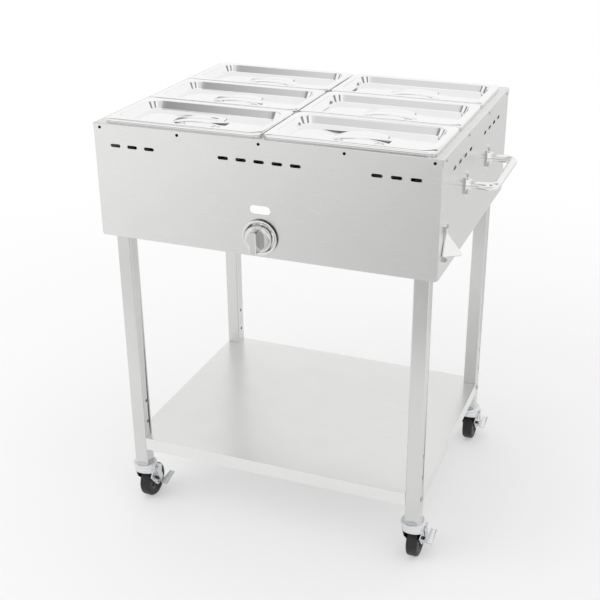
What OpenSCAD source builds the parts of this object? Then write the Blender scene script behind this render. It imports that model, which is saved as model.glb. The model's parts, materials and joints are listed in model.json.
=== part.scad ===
// Mobile steam table: a gas-fired water bath that keeps six lidded pans hot, on a wheeled frame.
// Origin on the floor under the centre of the body. +X to the handle side, +Y to the back, +Z up.

/* [Pans and lids] */
// Width of a pan over its rim
pan_w = 325; // [280:1:380]
// Depth of a pan over its rim
pan_d = 176; // [150:1:220]
// How far a pan hangs below the body's top
pan_drop = 100; // [60:1:110]
// Gap between the two columns of pans
column_gap = 4; // [2:0.5:12]
// Gap between neighbouring rows of pans
row_gap = 2; // [1:0.5:10]
// Sheet thickness of pans and lids
pan_t = 0.9; // [0.6:0.1:1.4]
// Width of a pan's flat rim
rim_w = 10; // [8:0.5:12]
// Corner radius of the rims of pans and lids
rim_r = 14; // [6:1:18]
// Height of a pan's rim above the body's top
pan_rim_h = 3.2; // [2:0.1:6]
// Corner radius of a pan's wall at the rim
pan_r = 26; // [20:1:34]
// How much a pan's wall leans in from rim to floor
pan_taper = 5; // [0:0.5:7]
// Radius between a pan's wall and floor
pan_floor_r = 11; // [4:1:12]
// Height of a lid's rim over the pan's rim
lid_rim_h = 3.6; // [2.5:0.1:6]
// Width of a lid's flat rim
lid_rim_w = 14; // [13:0.5:20]
// Depth of the tray pressed into a lid
lid_tray_h = 15; // [10:0.5:20]
// Corner radius of a lid's tray
lid_r = 30; // [20:1:36]
// How much the tray's wall leans in
lid_lean = 6; // [2:0.5:10]
// Radius of the round dish under a lid's grip
dish_r = 52; // [35:1:55]
// Depth of the dish
dish_h = 14; // [8:0.5:18]
// Width of the grip at its waist
grip_w = 24; // [16:1:34]
// How far the grip arches above the tray's floor
grip_rise = 4; // [1:0.5:8]

/* [Body] */
// Height of the body's top above the floor
body_top = 875; // [800:1:960]
// Height of the body's panels
body_h = 228; // [215:1:300]
// Flat margin between pans and body side
side_margin = 16; // [12:1:40]
// Flat margin between pans and body front or back
front_margin = 12; // [11:1:40]
// Sheet thickness of the panels
panel_t = 1.2; // [0.8:0.1:2]
// Depth of the hem folded in along the panels' lower edges
hem = 14; // [8:1:15]
// Radius of the panels' lower corners
panel_r = 5; // [2:1:12]
// Sheet thickness of the water tank
tank_t = 1.2; // [0.8:0.1:1.8]
// Depth of the tank below the body's top
tank_h = 125; // [120:1:140]
// Corner radius of the tank
tank_r = 22; // [12:1:30]
// How far the tank's lips lap down over the side panels
side_lip = 18; // [12:1:26]
// How far the tank's lips go down behind the front and back panels
front_lip = 15; // [12:1:22]
// Width of the seat that a pan's rim has on the tank's flange
rim_seat = 8; // [5:0.5:9]

/* [Vents and screws] */
// Length of a vent slot
slot_l = 21; // [14:1:26]
// Height of a vent slot
slot_h = 6.5; // [3:0.5:10]
// Distance of the vent slots below the body's top
slot_drop = 41.5; // [30:0.5:60]
// Spacing of the front slots
slot_pitch = 36; // [30:1:40]
// Distance of the middle of each outer front group from the body's side
slot_inset_x = 81; // [63:1:140]
// Spacing of the side slots
side_pitch = 41.5; // [30:0.5:44]
// Distance of the middle of each side group from the body's front or back
slot_inset_y = 155; // [100:1:183]
// Distance of the panel screws below the body's top
screw_drop = 8; // [7:0.5:11]
// Distance of the outer front screws from the body's sides
screw_inset_x = 13; // [10:1:60]
// Distance of the outer side screws from the body's front and back
screw_inset_y = 23; // [16:1:80]
// Diameter of a panel screw
screw_d = 4; // [3:0.5:5]

/* [Legs and shelf] */
// Side of the square leg tube
leg = 30; // [25:1:32]
// Wall of the leg tube
leg_t = 1.5; // [1:0.1:2.5]
// Inset of the legs from the body's sides
leg_inset = 18.5; // [18:0.5:30]
// How far the legs reach up into the body
leg_reach = 92; // [70:1:94]
// Height of the shelf's top above the floor
shelf_z = 169.5; // [160:0.5:260]
// Depth of the shelf's folded edge
shelf_edge = 29; // [22:1:40]
// Sheet thickness of the shelf
shelf_t = 1.2; // [0.8:0.1:2]
// Spacing of the height holes in the legs
hole_pitch = 51; // [35:1:70]
// Number of height holes in each leg
hole_count = 3; // [2:1:5]
// Diameter of the height holes
hole_d = 6.6; // [6.2:0.1:9]
// Distance of the shelf bolt below the shelf's top
bolt_drop = 16; // [12:1:18]

/* [Casters] */
// Diameter of a wheel
wheel_d = 75; // [60:1:80]
// Width of a wheel's tread
wheel_w = 24; // [18:1:28]
// Height of a caster from the floor to the leg's end
caster_h = 102.5; // [100:0.5:130]
// Distance from the swivel axis back to the axle
trail = 25; // [18:1:30]
// Diameter of the axle bolt
axle_d = 8; // [6:0.5:10]
// Diameter of the kingpin
kingpin_d = 10; // [8:0.5:12]
// Radius of the swivel cup under the leg
cup_r = 26; // [24:1:32]
// Sheet thickness of the fork
fork_t = 2; // [1.5:0.1:2.5]
// Width of the brake pedal's foot pad
pedal_w = 12; // [8:1:18]

/* [Controls] */
// Height of the knob above the body's lower edge
knob_up = 40; // [38:1:60]
// Radius of the round plate behind the knob
bezel_r = 35; // [32:1:38]
// How far the knob stands out from the front
knob_out = 38; // [32:1:50]
// Radius of the knob's skirt
knob_r = 27; // [22:1:29]
// How far the knob is pushed in before it turns
knob_push = 4; // [2:0.5:4.5]
// Diameter of the valve stem
stem_d = 8; // [6:0.5:9]
// Height of the sight hole above the knob
sight_up = 53.5; // [48:0.5:70]
// Length of the sight hole
sight_l = 42; // [30:1:60]
// Height of the sight hole
sight_h = 17; // [10:0.5:22]

/* [Burner] */
// Length of the cross burner
burner_l = 420; // [300:1:520]
// Diameter of the cross burner
burner_d = 32; // [26:1:38]
// Diameter of the tube that feeds the burner
feed_d = 22; // [18:1:25]
// Spacing of the flame ports
port_pitch = 15; // [12:1:24]
// Diameter of a flame port
port_d = 2.4; // [1.5:0.1:4]

/* [Side handle and opener] */
// Distance between the handle's two arms
handle_span = 184; // [120:1:210]
// Distance from the side panel to the grip bar's middle
handle_out = 57; // [50:1:80]
// Diameter of the handle tube
handle_d = 16; // [12:1:20]
// Distance of the handle below the body's top
handle_drop = 101; // [90:1:110]
// Distance between the two screws of a handle flange
flange_screws = 34; // [32:1:44]
// Distance of the bottle opener from the front of the body
opener_y = 42; // [30:1:60]
// Distance between the opener's two screws
opener_screws = 66; // [60:1:76]
// How far the opener's hood stands out at its tip
hood_reach = 33; // [26:1:40]
// Height of the opener's hood
hood_h = 38; // [30:1:42]

/* [Hidden] */
$fn = 64;

// Clearances
seat = 0.1;          // between pieces that lift off each other
run = 0.05;          // radial, round a pin that turns
slip = 0.1;          // between a leg and what holds it
e = 0.01;            // overlap of cutting tools

// Body
field_w = 2 * pan_w + column_gap;
field_d = 3 * pan_d + 2 * row_gap;
body_w = field_w + 2 * side_margin;
body_d = field_d + 2 * front_margin;
body_z = body_top - body_h;
well_w = field_w - 2 * rim_seat;
well_d = field_d - 2 * rim_seat;
inner_x = body_w / 2 - panel_t;
inner_y = body_d / 2 - panel_t;
tank_z = body_top - tank_h;
bend_r = 2;          // outside radius of the tank's folded edges
slot_group_x = body_w / 2 - slot_inset_x;
slot_group_y = body_d / 2 - slot_inset_y;
front_slots = [-slot_group_x - slot_pitch, -slot_group_x, -slot_group_x + slot_pitch,
               -2 * slot_pitch, -slot_pitch, 0, slot_pitch, 2 * slot_pitch,
               slot_group_x - slot_pitch, slot_group_x, slot_group_x + slot_pitch];
side_slots = [for (g = [-slot_group_y, slot_group_y], i = [-1.5:1:1.5]) g + i * side_pitch];
front_screws = [for (i = [-2:2]) i * (body_w / 2 - screw_inset_x) / 2];
side_screw_y = [for (i = [-1.5:1:1.5]) i * (body_d / 2 - screw_inset_y) / 1.5];
screw_head = 1.6;    // height of a panel screw's head

// Bars under the pans' rims
bar_h = 12;
centre_bar_w = column_gap + 2 * rim_w - 2;
cross_bar_w = row_gap + 2 * rim_w - 2;

// Legs
leg_x = body_w / 2 - leg_inset - leg / 2;
leg_y = body_d / 2 - leg_inset - leg / 2;
leg_top = body_z + leg_reach;
leg_r = 2.5;         // outside corner radius of the tube
socket_t = 2;        // sheet of the leg sockets
socket_z = body_z + 8;
socket_h = leg_reach - 12;
bolt_d = 6;
bolt_z = shelf_z - bolt_drop;
hem_x = leg_x - leg / 2 - 4;
hem_y = leg_y - leg / 2 - 4;
corners = [[-1, -1], [1, -1], [-1, 1], [1, 1]];

// Casters
wheel_r = wheel_d / 2;
cup_z = caster_h - 11;        // underside of the fixed swivel cup
crown_z = cup_z - 0.3;        // top of the fork's crown
crown_r = 22;
cheek_x = wheel_w / 2 + 1.5;  // inner face of a fork cheek at the axle
skirt_h = 16;                 // depth of the crown's front skirt at its sides
nut_h = 5;
lever_t = 1.8;
lever_x = max(crown_r, cheek_x + fork_t + nut_h + 1) + 0.4;  // clears the crown and the axle's nut
lever_pin_r = 2.5;
lever_pin = [12, crown_z - 12.2];                   // Y and Z of the pedal's pin
lever_heel = [trail + 5, wheel_r - 12.5];           // lowest corner of the pedal
lever_tip = [trail + wheel_r + 5.5, wheel_r - 2.5]; // rear end of its foot pad
shoe_z = wheel_d + 1.9;                             // underside of its shoe, over the wheel

// Controls
front_y = -body_d / 2;
knob_z = body_z + knob_up;
sight_z = knob_z + sight_up;
stem_r = stem_d / 2;
bonnet_y = -inner_y;          // front of the valve, against the panel
burner_r = burner_d / 2;
feed_r = feed_d / 2;
tail_r = 6.58;                // a quarter-inch pipe thread's outside

// Side handle and opener
side_x = body_w / 2;
handle_z = body_top - handle_drop;
handle_r = handle_d / 2;
handle_bend = 18;    // centre-line radius of the handle's bends
flange_t = 3;
opener_t = 4;
opener_z = body_z + 60;
opener_yc = front_y + opener_y;
hood_z = opener_z - 19;
hood_w = 16;         // half the hood's width between its corners' centres
side_screw_d = 5;

// Shared shapes

function arc(x, y, r, from, to, n = 6) =
    [for (i = [0:n]) [x + r * cos(from + (to - from) * i / n), y + r * sin(from + (to - from) * i / n)]];

module slot_2d(l, h) {
    square([l - h, h], center = true);
    for (s = [-1, 1]) translate([s * (l - h) / 2, 0]) circle(d = h);
}

module round_rect(w, d, r) {
    square([w, d - 2 * r], center = true);
    square([w - 2 * r, d], center = true);
    for (x = [-1, 1], y = [-1, 1]) translate([x * (w / 2 - r), y * (d / 2 - r)]) circle(r);
}

module ring(w, d, r, t) {
    difference() {
        round_rect(w, d, r);
        round_rect(w - 2 * t, d - 2 * t, r - t);
    }
}

// Sweeps a profile round a rectangle whose corners are arcs about [+-hx, +-hy].
// The profile's x is the distance from that rectangle, and its y is the height.
module ring_sweep(hx, hy) {
    for (i = [0:3])
        translate([(i == 0 || i == 3 ? 1 : -1) * hx, (i < 2 ? 1 : -1) * hy, 0])
            rotate([0, 0, 90 * i]) rotate_extrude(angle = 90) children();
    for (i = [0:3])
        rotate([0, 0, 90 * i]) translate([i % 2 == 0 ? hx : hy, 0, 0])
            rotate([90, 0, 0]) linear_extrude(2 * (i % 2 == 0 ? hy : hx), center = true) children();
}

// Extrudes a front view, drawn in X and Z, over a depth along +Y
module front_view(depth) {
    translate([0, depth, 0]) rotate([90, 0, 0]) linear_extrude(depth) children();
}

// Extrudes a side view, drawn in Y and Z, over a width along X, centred
module side_view(width) {
    rotate([90, 0, 90]) linear_extrude(width, center = true) children();
}

// A cylinder along X, Y or Z between two places on that axis
module rod_x(r, from, to) {
    translate([from, 0, 0]) rotate([0, 90, 0]) cylinder(r = r, h = to - from);
}

module rod_y(r, from, to) {
    translate([0, to, 0]) rotate([90, 0, 0]) cylinder(r = r, h = to - from);
}

module steel() {
    color([0.80, 0.80, 0.79]) children();
}

// Tank: flange, folded lips and well in one sheet

module tank() {
    flange_x = side_x + tank_t;
    steel() difference() {
        union() {
            tank_flange(flange_x);
            translate([0, 0, tank_z])
                linear_extrude(tank_h - tank_t) ring(well_w + 2 * tank_t, well_d + 2 * tank_t, tank_r + tank_t, tank_t);
            translate([0, 0, tank_z])
                linear_extrude(tank_t) round_rect(well_w + 2 * tank_t, well_d + 2 * tank_t, tank_r + tank_t);
        }
        for (x = front_screws, s = [-1, 1]) translate([x, 0, body_top - screw_drop])
            rod_y(screw_d / 2 + run, s * inner_y - 3, s * inner_y + 3);
        for (y = side_screw_y, s = [-1, 1]) translate([0, y, body_top - screw_drop])
            rod_x(screw_d / 2 + run, s * side_x - 3, s * side_x + 3);
    }
}

module tank_flange(flange_x) {
    difference() {
        union() {
            intersection() {
                translate([0, -inner_y, 0]) front_view(2 * inner_y) lip_profile(flange_x, side_lip);
                side_view(2 * flange_x) lip_end_view();
            }
            side_view(2 * (inner_x - 1)) lip_profile(inner_y, front_lip);
        }
        translate([0, 0, body_top - tank_h])
            linear_extrude(2 * tank_h) round_rect(well_w, well_d, tank_r);
    }
}

// A side lip seen from the side: rounded at the top, and cut away at its lower corners
module lip_end_view() {
    cut = 7;
    difference() {
        lip_outline(inner_y, side_lip, bend_r);
        for (s = [-1, 1]) {
            translate([s * inner_y, body_top - side_lip]) rotate(45) square(cut * sqrt(2), center = true);
            translate([s * (inner_y - 3.5), body_top - 3.5]) circle(1.3);
        }
    }
}

// A sheet folded down on both sides: half width, and depth of the folded lips
module lip_profile(half, drop) {
    difference() {
        lip_outline(half, drop, bend_r);
        translate([0, -tank_t]) lip_outline(half - tank_t, drop, bend_r - tank_t + 0.2);
    }
}

module lip_outline(half, drop, r) {
    translate([-half, body_top - drop]) square([2 * half, drop - r]);
    translate([-half + r, body_top - r - e]) square([2 * (half - r), r + e]);
    for (s = [-1, 1]) translate([s * (half - r), body_top - r]) circle(r);
}

// Panels

module panel_outline(width) {
    difference() {
        translate([-width / 2, body_z]) square([width, body_h]);
        for (s = [-1, 1]) translate([s * (width / 2 - panel_r), body_z + panel_r])
            difference() {
                translate([s > 0 ? 0 : -panel_r - e, -panel_r - e]) square(panel_r + e);
                circle(panel_r);
            }
    }
}

// An end panel's sheet seen from the side, with its top edge rounded over
module end_panel_profile() {
    r = panel_t - 0.2;
    translate([front_y, body_z]) square([panel_t, body_h - r]);
    translate([front_y + r, body_top - r]) circle(r);
    translate([front_y + r, body_top - r - e]) square([panel_t - r, r + e]);
}

module end_panel(with_controls) {
    difference() {
        union() {
            intersection() {
                translate([0, front_y, 0]) front_view(panel_t) panel_outline(body_w);
                side_view(body_w) end_panel_profile();
            }
            translate([-hem_x, front_y, body_z]) cube([2 * hem_x, hem, panel_t]);
            for (s = [-1, 1]) translate([s * (inner_x - panel_t / 2), front_y + 8, body_z + body_h / 2])
                cube([panel_t, 16, body_h - 60], center = true);
        }
        for (x = front_slots) translate([x, front_y - 1, body_top - slot_drop])
            front_view(4) slot_2d(slot_l, slot_h);
        for (x = front_screws) translate([x, 0, body_top - screw_drop])
            rod_y(screw_d / 2 + run, front_y - 1, front_y + 3);
        if (with_controls) {
            translate([0, front_y - 1, sight_z]) front_view(4) slot_2d(sight_l, sight_h);
            translate([0, 0, knob_z]) rod_y(stem_r + 3, front_y - 1, front_y + 3);
            for (s = [-1, 1]) translate([s * bezel_screw, 0, knob_z])
                rod_y(screw_d / 2 + run, front_y - 1, front_y + 3);
            translate([0, 0, body_z + 7]) rod_y(1.7, front_y - 1, front_y + 3);
        }
    }
}

module front_panel() {
    steel() end_panel(true);
}

module back_panel() {
    steel() rotate([0, 0, 180]) end_panel(false);
}

module side_panel(fittings) {
    difference() {
        union() {
            translate([side_x - panel_t / 2, 0, body_z]) intersection() {
                side_view(panel_t) translate([0, -body_z]) panel_outline(2 * inner_y);
                translate([-5, -inner_y, 0]) cube([10, 2 * inner_y, body_h - bend_r]);
            }
            translate([side_x - hem, -hem_y, body_z]) cube([hem, 2 * hem_y, panel_t]);
        }
        for (y = side_slots) translate([side_x, y, body_top - slot_drop])
            side_view(6) slot_2d(slot_l, slot_h);
        for (y = side_screw_y) translate([0, y, body_top - screw_drop])
            rod_x(screw_d / 2 + run, side_x - 4, side_x + 4);
        if (fittings) fitting_screws() rod_x(side_screw_d / 2 + run, side_x - 4, side_x + 1);
    }
}

module right_panel() {
    steel() side_panel(true);
}

module left_panel() {
    steel() rotate([0, 0, 180]) side_panel(false);
}

// Bars that carry the pans' inner rims, welded between the walls of the well

module channel_2d(w) {
    difference() {
        translate([-w / 2, body_top - bar_h]) square([w, bar_h]);
        translate([-w / 2 + tank_t, body_top - bar_h - e]) square([w - 2 * tank_t, bar_h - tank_t + e]);
    }
}

module pan_bars() {
    steel() {
        difference() {
            translate([0, -well_d / 2, 0]) front_view(well_d) channel_2d(centre_bar_w);
            for (row = [-0.5, 0.5]) translate([0, row * (pan_d + row_gap), body_top - bar_h])
                cube([2 * centre_bar_w, cross_bar_w - 2 * tank_t, 2 * (bar_h - tank_t)], center = true);
        }
        difference() {
            for (row = [-0.5, 0.5]) translate([0, row * (pan_d + row_gap), 0])
                side_view(well_w) channel_2d(cross_bar_w);
            translate([0, 0, body_top - bar_h])
                cube([centre_bar_w - 2 * tank_t, well_d, 2 * (bar_h - tank_t)], center = true);
        }
    }
}

// Pans

// A sheet from a flat rim over a rounded edge, down a leaning wall and into a flat floor.
// rho is the wall's outer distance from the corner centre at the rim, and z0 and z1 are the
// heights of the rim's top and of the floor's underside.
module wall_profile(rho, z0, z1, lean, rim_fillet, floor_fillet) {
    xr = rho - pan_t + rim_fillet;
    xf = rho - pan_t - lean - floor_fillet;
    zf = z1 + pan_t + floor_fillet;
    polygon(concat(
        arc(xr, z0 - rim_fillet, rim_fillet, 90, 180),
        arc(xf, zf, floor_fillet, 0, -90),
        arc(xf, zf, floor_fillet + pan_t, -90, 0),
        arc(xr, z0 - rim_fillet, rim_fillet - pan_t, 180, 90)));
}

module pan_shape() {
    hx = pan_w / 2 - rim_w - pan_r;
    hy = pan_d / 2 - rim_w - pan_r;
    fillet = 3;
    mouth = pan_r - pan_t + fillet;
    flat = pan_r - pan_t - pan_taper - pan_floor_r;
    translate([0, 0, pan_rim_h - pan_t]) linear_extrude(pan_t) difference() {
        round_rect(pan_w, pan_d, rim_r);
        round_rect(2 * (hx + mouth), 2 * (hy + mouth), mouth);
    }
    translate([0, 0, seat]) linear_extrude(pan_rim_h - seat) ring(pan_w, pan_d, rim_r, pan_t);
    ring_sweep(hx, hy) wall_profile(pan_r, pan_rim_h, -pan_drop, pan_taper, fillet, pan_floor_r);
    translate([0, 0, -pan_drop]) linear_extrude(pan_t) round_rect(2 * (hx + flat), 2 * (hy + flat), flat);
}

module pan(column, row) {
    steel() translate([column * (pan_w + column_gap) / 2, row * (pan_d + row_gap), body_top]) pan_shape();
}

module pan_front_left() { pan(-1, -1); }
module pan_middle_left() { pan(-1, 0); }
module pan_back_left() { pan(-1, 1); }
module pan_front_right() { pan(1, -1); }
module pan_middle_right() { pan(1, 0); }
module pan_back_right() { pan(1, 1); }

// Lids: a rim with a turned-down edge, a pressed tray, a round dish and a grip that bridges it

lid_top = pan_rim_h + lid_rim_h;
tray_z = lid_top - lid_tray_h;

module lid_shape() {
    hx = pan_w / 2 - lid_rim_w - lid_r;
    hy = pan_d / 2 - lid_rim_w - lid_r;
    fillet = 2.5;
    floor_fillet = 4;
    wall = lid_r - fillet + pan_t;
    mouth = wall - pan_t + fillet;
    flat = wall - pan_t - lid_lean - floor_fillet;
    translate([0, 0, lid_top - pan_t]) linear_extrude(pan_t) difference() {
        round_rect(pan_w, pan_d, rim_r);
        round_rect(2 * (hx + mouth), 2 * (hy + mouth), mouth);
    }
    translate([0, 0, pan_rim_h + seat])
        linear_extrude(lid_rim_h - seat) ring(pan_w, pan_d, rim_r, pan_t);
    ring_sweep(hx, hy) wall_profile(wall, lid_top, tray_z - pan_t, lid_lean, fillet, floor_fillet);
    translate([0, 0, tray_z - pan_t]) linear_extrude(pan_t) difference() {
        round_rect(2 * (hx + flat), 2 * (hy + flat), flat);
        circle(dish_r);
    }
    translate([0, 0, tray_z]) lid_dish();
    translate([0, 0, tray_z]) lid_grip();
}

module lid_dish() {
    ball = (dish_r * dish_r + dish_h * dish_h) / (2 * dish_h);
    rotate_extrude() intersection() {
        translate([0, -dish_h - 2 * pan_t]) square([dish_r, dish_h + 2 * pan_t]);
        translate([0, ball - dish_h]) difference() {
            circle(ball + pan_t, $fn = 180);
            circle(ball, $fn = 180);
        }
    }
}

module lid_grip() {
    reach = dish_r + 4;
    grip_t = 1.2;
    arch = (reach * reach + grip_rise * grip_rise) / (2 * grip_rise);
    flare = 8;
    waist = (reach * reach + flare * flare) / (2 * flare);
    intersection() {
        translate([0, -dish_r, 0]) front_view(2 * dish_r) intersection() {
            translate([-reach, -pan_t]) square([2 * reach, grip_rise + pan_t + 1]);
            translate([0, grip_rise - arch]) difference() {
                circle(arch, $fn = 360);
                circle(arch - grip_t, $fn = 360);
            }
        }
        translate([0, 0, -pan_t - 1]) linear_extrude(grip_rise + pan_t + 2) difference() {
            square([2 * reach, grip_w + 2 * flare], center = true);
            for (s = [-1, 1]) translate([0, s * (grip_w / 2 + waist)]) circle(waist, $fn = 180);
        }
    }
}

module lid(column, row) {
    color([0.90, 0.90, 0.89])
        translate([column * (pan_w + column_gap) / 2, row * (pan_d + row_gap), body_top]) lid_shape();
}

module lid_front_left() { lid(-1, -1); }
module lid_middle_left() { lid(-1, 0); }
module lid_back_left() { lid(-1, 1); }
module lid_front_right() { lid(1, -1); }
module lid_middle_right() { lid(1, 0); }
module lid_back_right() { lid(1, 1); }

// Legs, their sockets in the body, and the shelf

module leg_tube(sx, sy) {
    steel() translate([sx * leg_x, sy * leg_y, 0]) difference() {
        translate([0, 0, caster_h]) linear_extrude(leg_top - caster_h) ring(leg, leg, leg_r, leg_t);
        for (i = [0:hole_count - 1]) translate([0, 0, bolt_z + i * hole_pitch])
            rod_x(hole_d / 2, -leg, leg);
        for (z = socket_bolts) translate([0, 0, z]) rod_x(hole_d / 2, -leg, leg);
    }
}

module leg_front_left() { leg_tube(-1, -1); }
module leg_front_right() { leg_tube(1, -1); }
module leg_back_left() { leg_tube(-1, 1); }
module leg_back_right() { leg_tube(1, 1); }

socket_bolts = [socket_z + socket_h * 0.3, socket_z + socket_h * 0.75];

// One socket: a sleeve round the leg, whose walls run on to a plate on each of the two panels.
// A hole in the plate leaves room for a nut of the bottle opener.
module leg_socket() {
    outer = leg + 2 * slip + 2 * socket_t;
    web = outer / 2 - socket_t;
    gap_x = inner_x - leg_x;
    gap_y = inner_y - leg_y;
    web_h = socket_h - 10;
    difference() {
        union() {
            linear_extrude(socket_h) ring(outer, outer, leg_r + slip + socket_t, socket_t);
            for (s = [0, 1]) {
                mirror([0, s, 0]) translate([web - 3, web, 5]) cube([gap_x - web + 3, socket_t, web_h]);
                mirror([s, 0, 0]) translate([web, web - 3, 5]) cube([socket_t, gap_y - web + 3, web_h]);
            }
            translate([gap_x - socket_t, -outer / 2, 5]) cube([socket_t, outer, web_h]);
            translate([-outer / 2, gap_y - socket_t, 5]) cube([outer, socket_t, web_h]);
        }
        for (z = socket_bolts) translate([0, 0, z - socket_z]) rod_x(hole_d / 2, -outer, outer / 2 + 1);
        translate([0, -leg_y - opener_yc, opener_z - opener_screws / 2 - socket_z])
            rod_x(6.5, gap_x - socket_t - 1, gap_x + 1);
        translate([0, 0, -1]) linear_extrude(socket_h + 2) round_rect(leg + 2 * slip, leg + 2 * slip, leg_r + slip);
    }
}

module leg_sockets() {
    steel() for (c = corners)
        translate([c.x * leg_x, c.y * leg_y, socket_z])
            mirror([c.x < 0 ? 1 : 0, 0, 0]) mirror([0, c.y < 0 ? 1 : 0, 0]) leg_socket();
}

module shelf() {
    sx = leg_x + leg / 2;
    sy = leg_y + leg / 2;
    notch_x = leg + slip;
    notch_y = leg + 1.5;
    low = shelf_z - shelf_edge;
    steel() difference() {
        union() {
            translate([-sx, -sy, shelf_z - shelf_t]) cube([2 * sx, 2 * sy, shelf_t]);
            for (s = [-1, 1]) {
                translate([-sx, s * (sy - shelf_t / 2) - shelf_t / 2, low]) cube([2 * sx, shelf_t, shelf_edge]);
                translate([s * (sx - shelf_t / 2) - shelf_t / 2, -sy, low]) cube([shelf_t, 2 * sy, shelf_edge]);
            }
            for (c = corners)
                translate([c.x * (sx - notch_x - shelf_t / 2), c.y * (sy - notch_y / 2 - 3), low + shelf_edge / 2])
                    cube([shelf_t, notch_y - 6, shelf_edge], center = true);
        }
        for (c = corners) {
            translate([c.x * (sx - notch_x / 2 + 1), c.y * (sy - notch_y / 2 + 1), low + shelf_edge / 2])
                cube([notch_x + 2, notch_y + 2, 3 * shelf_edge], center = true);
            translate([c.x * leg_x, c.y * leg_y, bolt_z]) rod_x(hole_d / 2, -leg, leg);
        }
    }
}

// A button-head bolt along X, head at the right, with its nut at the left
module bolt_x(from, to) {
    rod_x(bolt_d / 2, from, to + 0.5);
    translate([to, 0, 0]) rotate([0, 90, 0]) intersection() {
        cylinder(r = 5.5, h = 3.2);
        translate([0, 0, -4]) sphere(7.4);
    }
    translate([from + 1.5, 0, 0]) nut_x(bolt_d / 2, 5);
}

// A hexagon nut along X for a shank of radius r
module nut_x(r, h) {
    rotate([0, 90, 0]) difference() {
        cylinder(r = 1.9 * r, h = h, $fn = 6);
        translate([0, 0, -1]) cylinder(r = r + run, h = h + 2);
    }
}

module frame_bolts() {
    shelf_in = leg_x - leg / 2 - slip - shelf_t;
    color([0.72, 0.72, 0.72]) for (c = corners) mirror([c.x < 0 ? 1 : 0, 0, 0]) {
        translate([0, c.y * leg_y, bolt_z]) bolt_x(shelf_in - 6.5, leg_x + leg / 2);
        for (z = socket_bolts) translate([2 * leg_x, c.y * leg_y, z])
            mirror([1, 0, 0]) bolt_x(leg_x - leg / 2 - slip - socket_t - 6.5, leg_x + leg / 2 + slip + socket_t);
    }
}

// Casters

module at_caster(sx, sy) {
    translate([sx * leg_x, sy * leg_y, 0]) children();
}

// Fixed upper half: insert in the leg tube, swivel cup and kingpin
module caster_top() {
    insert = leg - 2 * leg_t - 0.6;
    color([0.78, 0.78, 0.78]) {
        translate([0, 0, caster_h - 1]) linear_extrude(29) round_rect(insert, insert, 1.5);
        translate([0, 0, caster_h - 2.5]) linear_extrude(2.5) round_rect(leg, leg, leg_r);
        rotate_extrude() polygon(concat(
            [[0, caster_h - 2], [14, caster_h - 2]],
            arc(cup_r - 4, caster_h - 6, 4, 90, 0),
            [[cup_r, cup_z + 3], [cup_r - 1, cup_z], [cup_r - 5, cup_z], [cup_r - 6, cup_z + 3],
             [12, cup_z + 3], [11, cup_z], [0, cup_z]]));
        translate([0, 0, crown_z - fork_t - 4]) cylinder(d = kingpin_d, h = cup_z - crown_z + fork_t + 5);
        translate([0, 0, crown_z - fork_t - 4]) cylinder(r = kingpin_d / 2 + 3, h = 3.7, $fn = 6);
    }
}

module caster_top_front_left() { at_caster(-1, -1) caster_top(); }
module caster_top_front_right() { at_caster(1, -1) caster_top(); }
module caster_top_back_left() { at_caster(-1, 1) caster_top(); }
module caster_top_back_right() { at_caster(1, 1) caster_top(); }

// Fork: a pressed crown with a front skirt, two cheeks that narrow to the axle, and the pedal's pin
module fork() {
    room = wheel_d;
    lever_out = lever_x + lever_t;
    color([0.82, 0.82, 0.82]) difference() {
        union() {
            fork_crown();
            intersection() {
                translate([0, -9, 0]) front_view(room) for (s = [0, 1]) mirror([s, 0]) cheek_front_2d();
                side_view(room) cheek_side_2d();
            }
            translate([0, lever_pin.x, lever_pin.y]) {
                rod_x(lever_pin_r, crown_r - fork_t + 0.6, lever_out + 1);
                rod_x(lever_pin_r + 1.6, lever_out + 0.3, lever_out + 1.8);
            }
        }
        translate([0, 0, cup_z - 30]) cylinder(d = kingpin_d + 2 * run, h = 60);
        translate([0, trail, wheel_r]) rod_x(axle_d / 2 + run, -30, 30);
    }
}

module fork_crown() {
    rotate_extrude() polygon(concat(
        [[0, crown_z]], arc(crown_r - 7, crown_z - 7, 7, 90, 0),
        arc(crown_r - 7, crown_z - 7, 7 - fork_t, 0, 90), [[0, crown_z - fork_t]]));
    intersection() {
        rotate([0, 0, 180]) rotate_extrude(angle = 180)
            translate([crown_r - fork_t, crown_z - skirt_h]) square([fork_t, skirt_h - 6.5]);
        side_view(wheel_d) polygon([
            [1, crown_z], [-crown_r - 1, crown_z], [-crown_r - 1, crown_z - skirt_h + 5],
            [-8, crown_z - skirt_h], [1, crown_z - skirt_h]
        ]);
    }
}

module cheek_front_2d() {
    t = fork_t;
    polygon([
        [crown_r - t, crown_z - 7], [crown_r, crown_z - 7], [crown_r, crown_z - skirt_h],
        [cheek_x + t, wheel_r + 16], [cheek_x + t, 0], [cheek_x, 0], [cheek_x, wheel_r + 16],
        [crown_r - t, crown_z - skirt_h]
    ]);
}

module cheek_side_2d() {
    boss = axle_d / 2 + 7;
    translate([trail, wheel_r]) circle(boss);
    polygon([
        [-10, crown_z - 5], [17, crown_z - 5], [21, crown_z - 12], [trail + boss, wheel_r + 2],
        [trail, wheel_r], [trail - boss * 0.72, wheel_r - boss * 0.69], [-10, crown_z - 29]
    ]);
}

module fork_front_left() { at_caster(-1, -1) fork(); }
module fork_front_right() { at_caster(1, -1) fork(); }
module fork_back_left() { at_caster(-1, 1) fork(); }
module fork_back_right() { at_caster(1, 1) fork(); }

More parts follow.
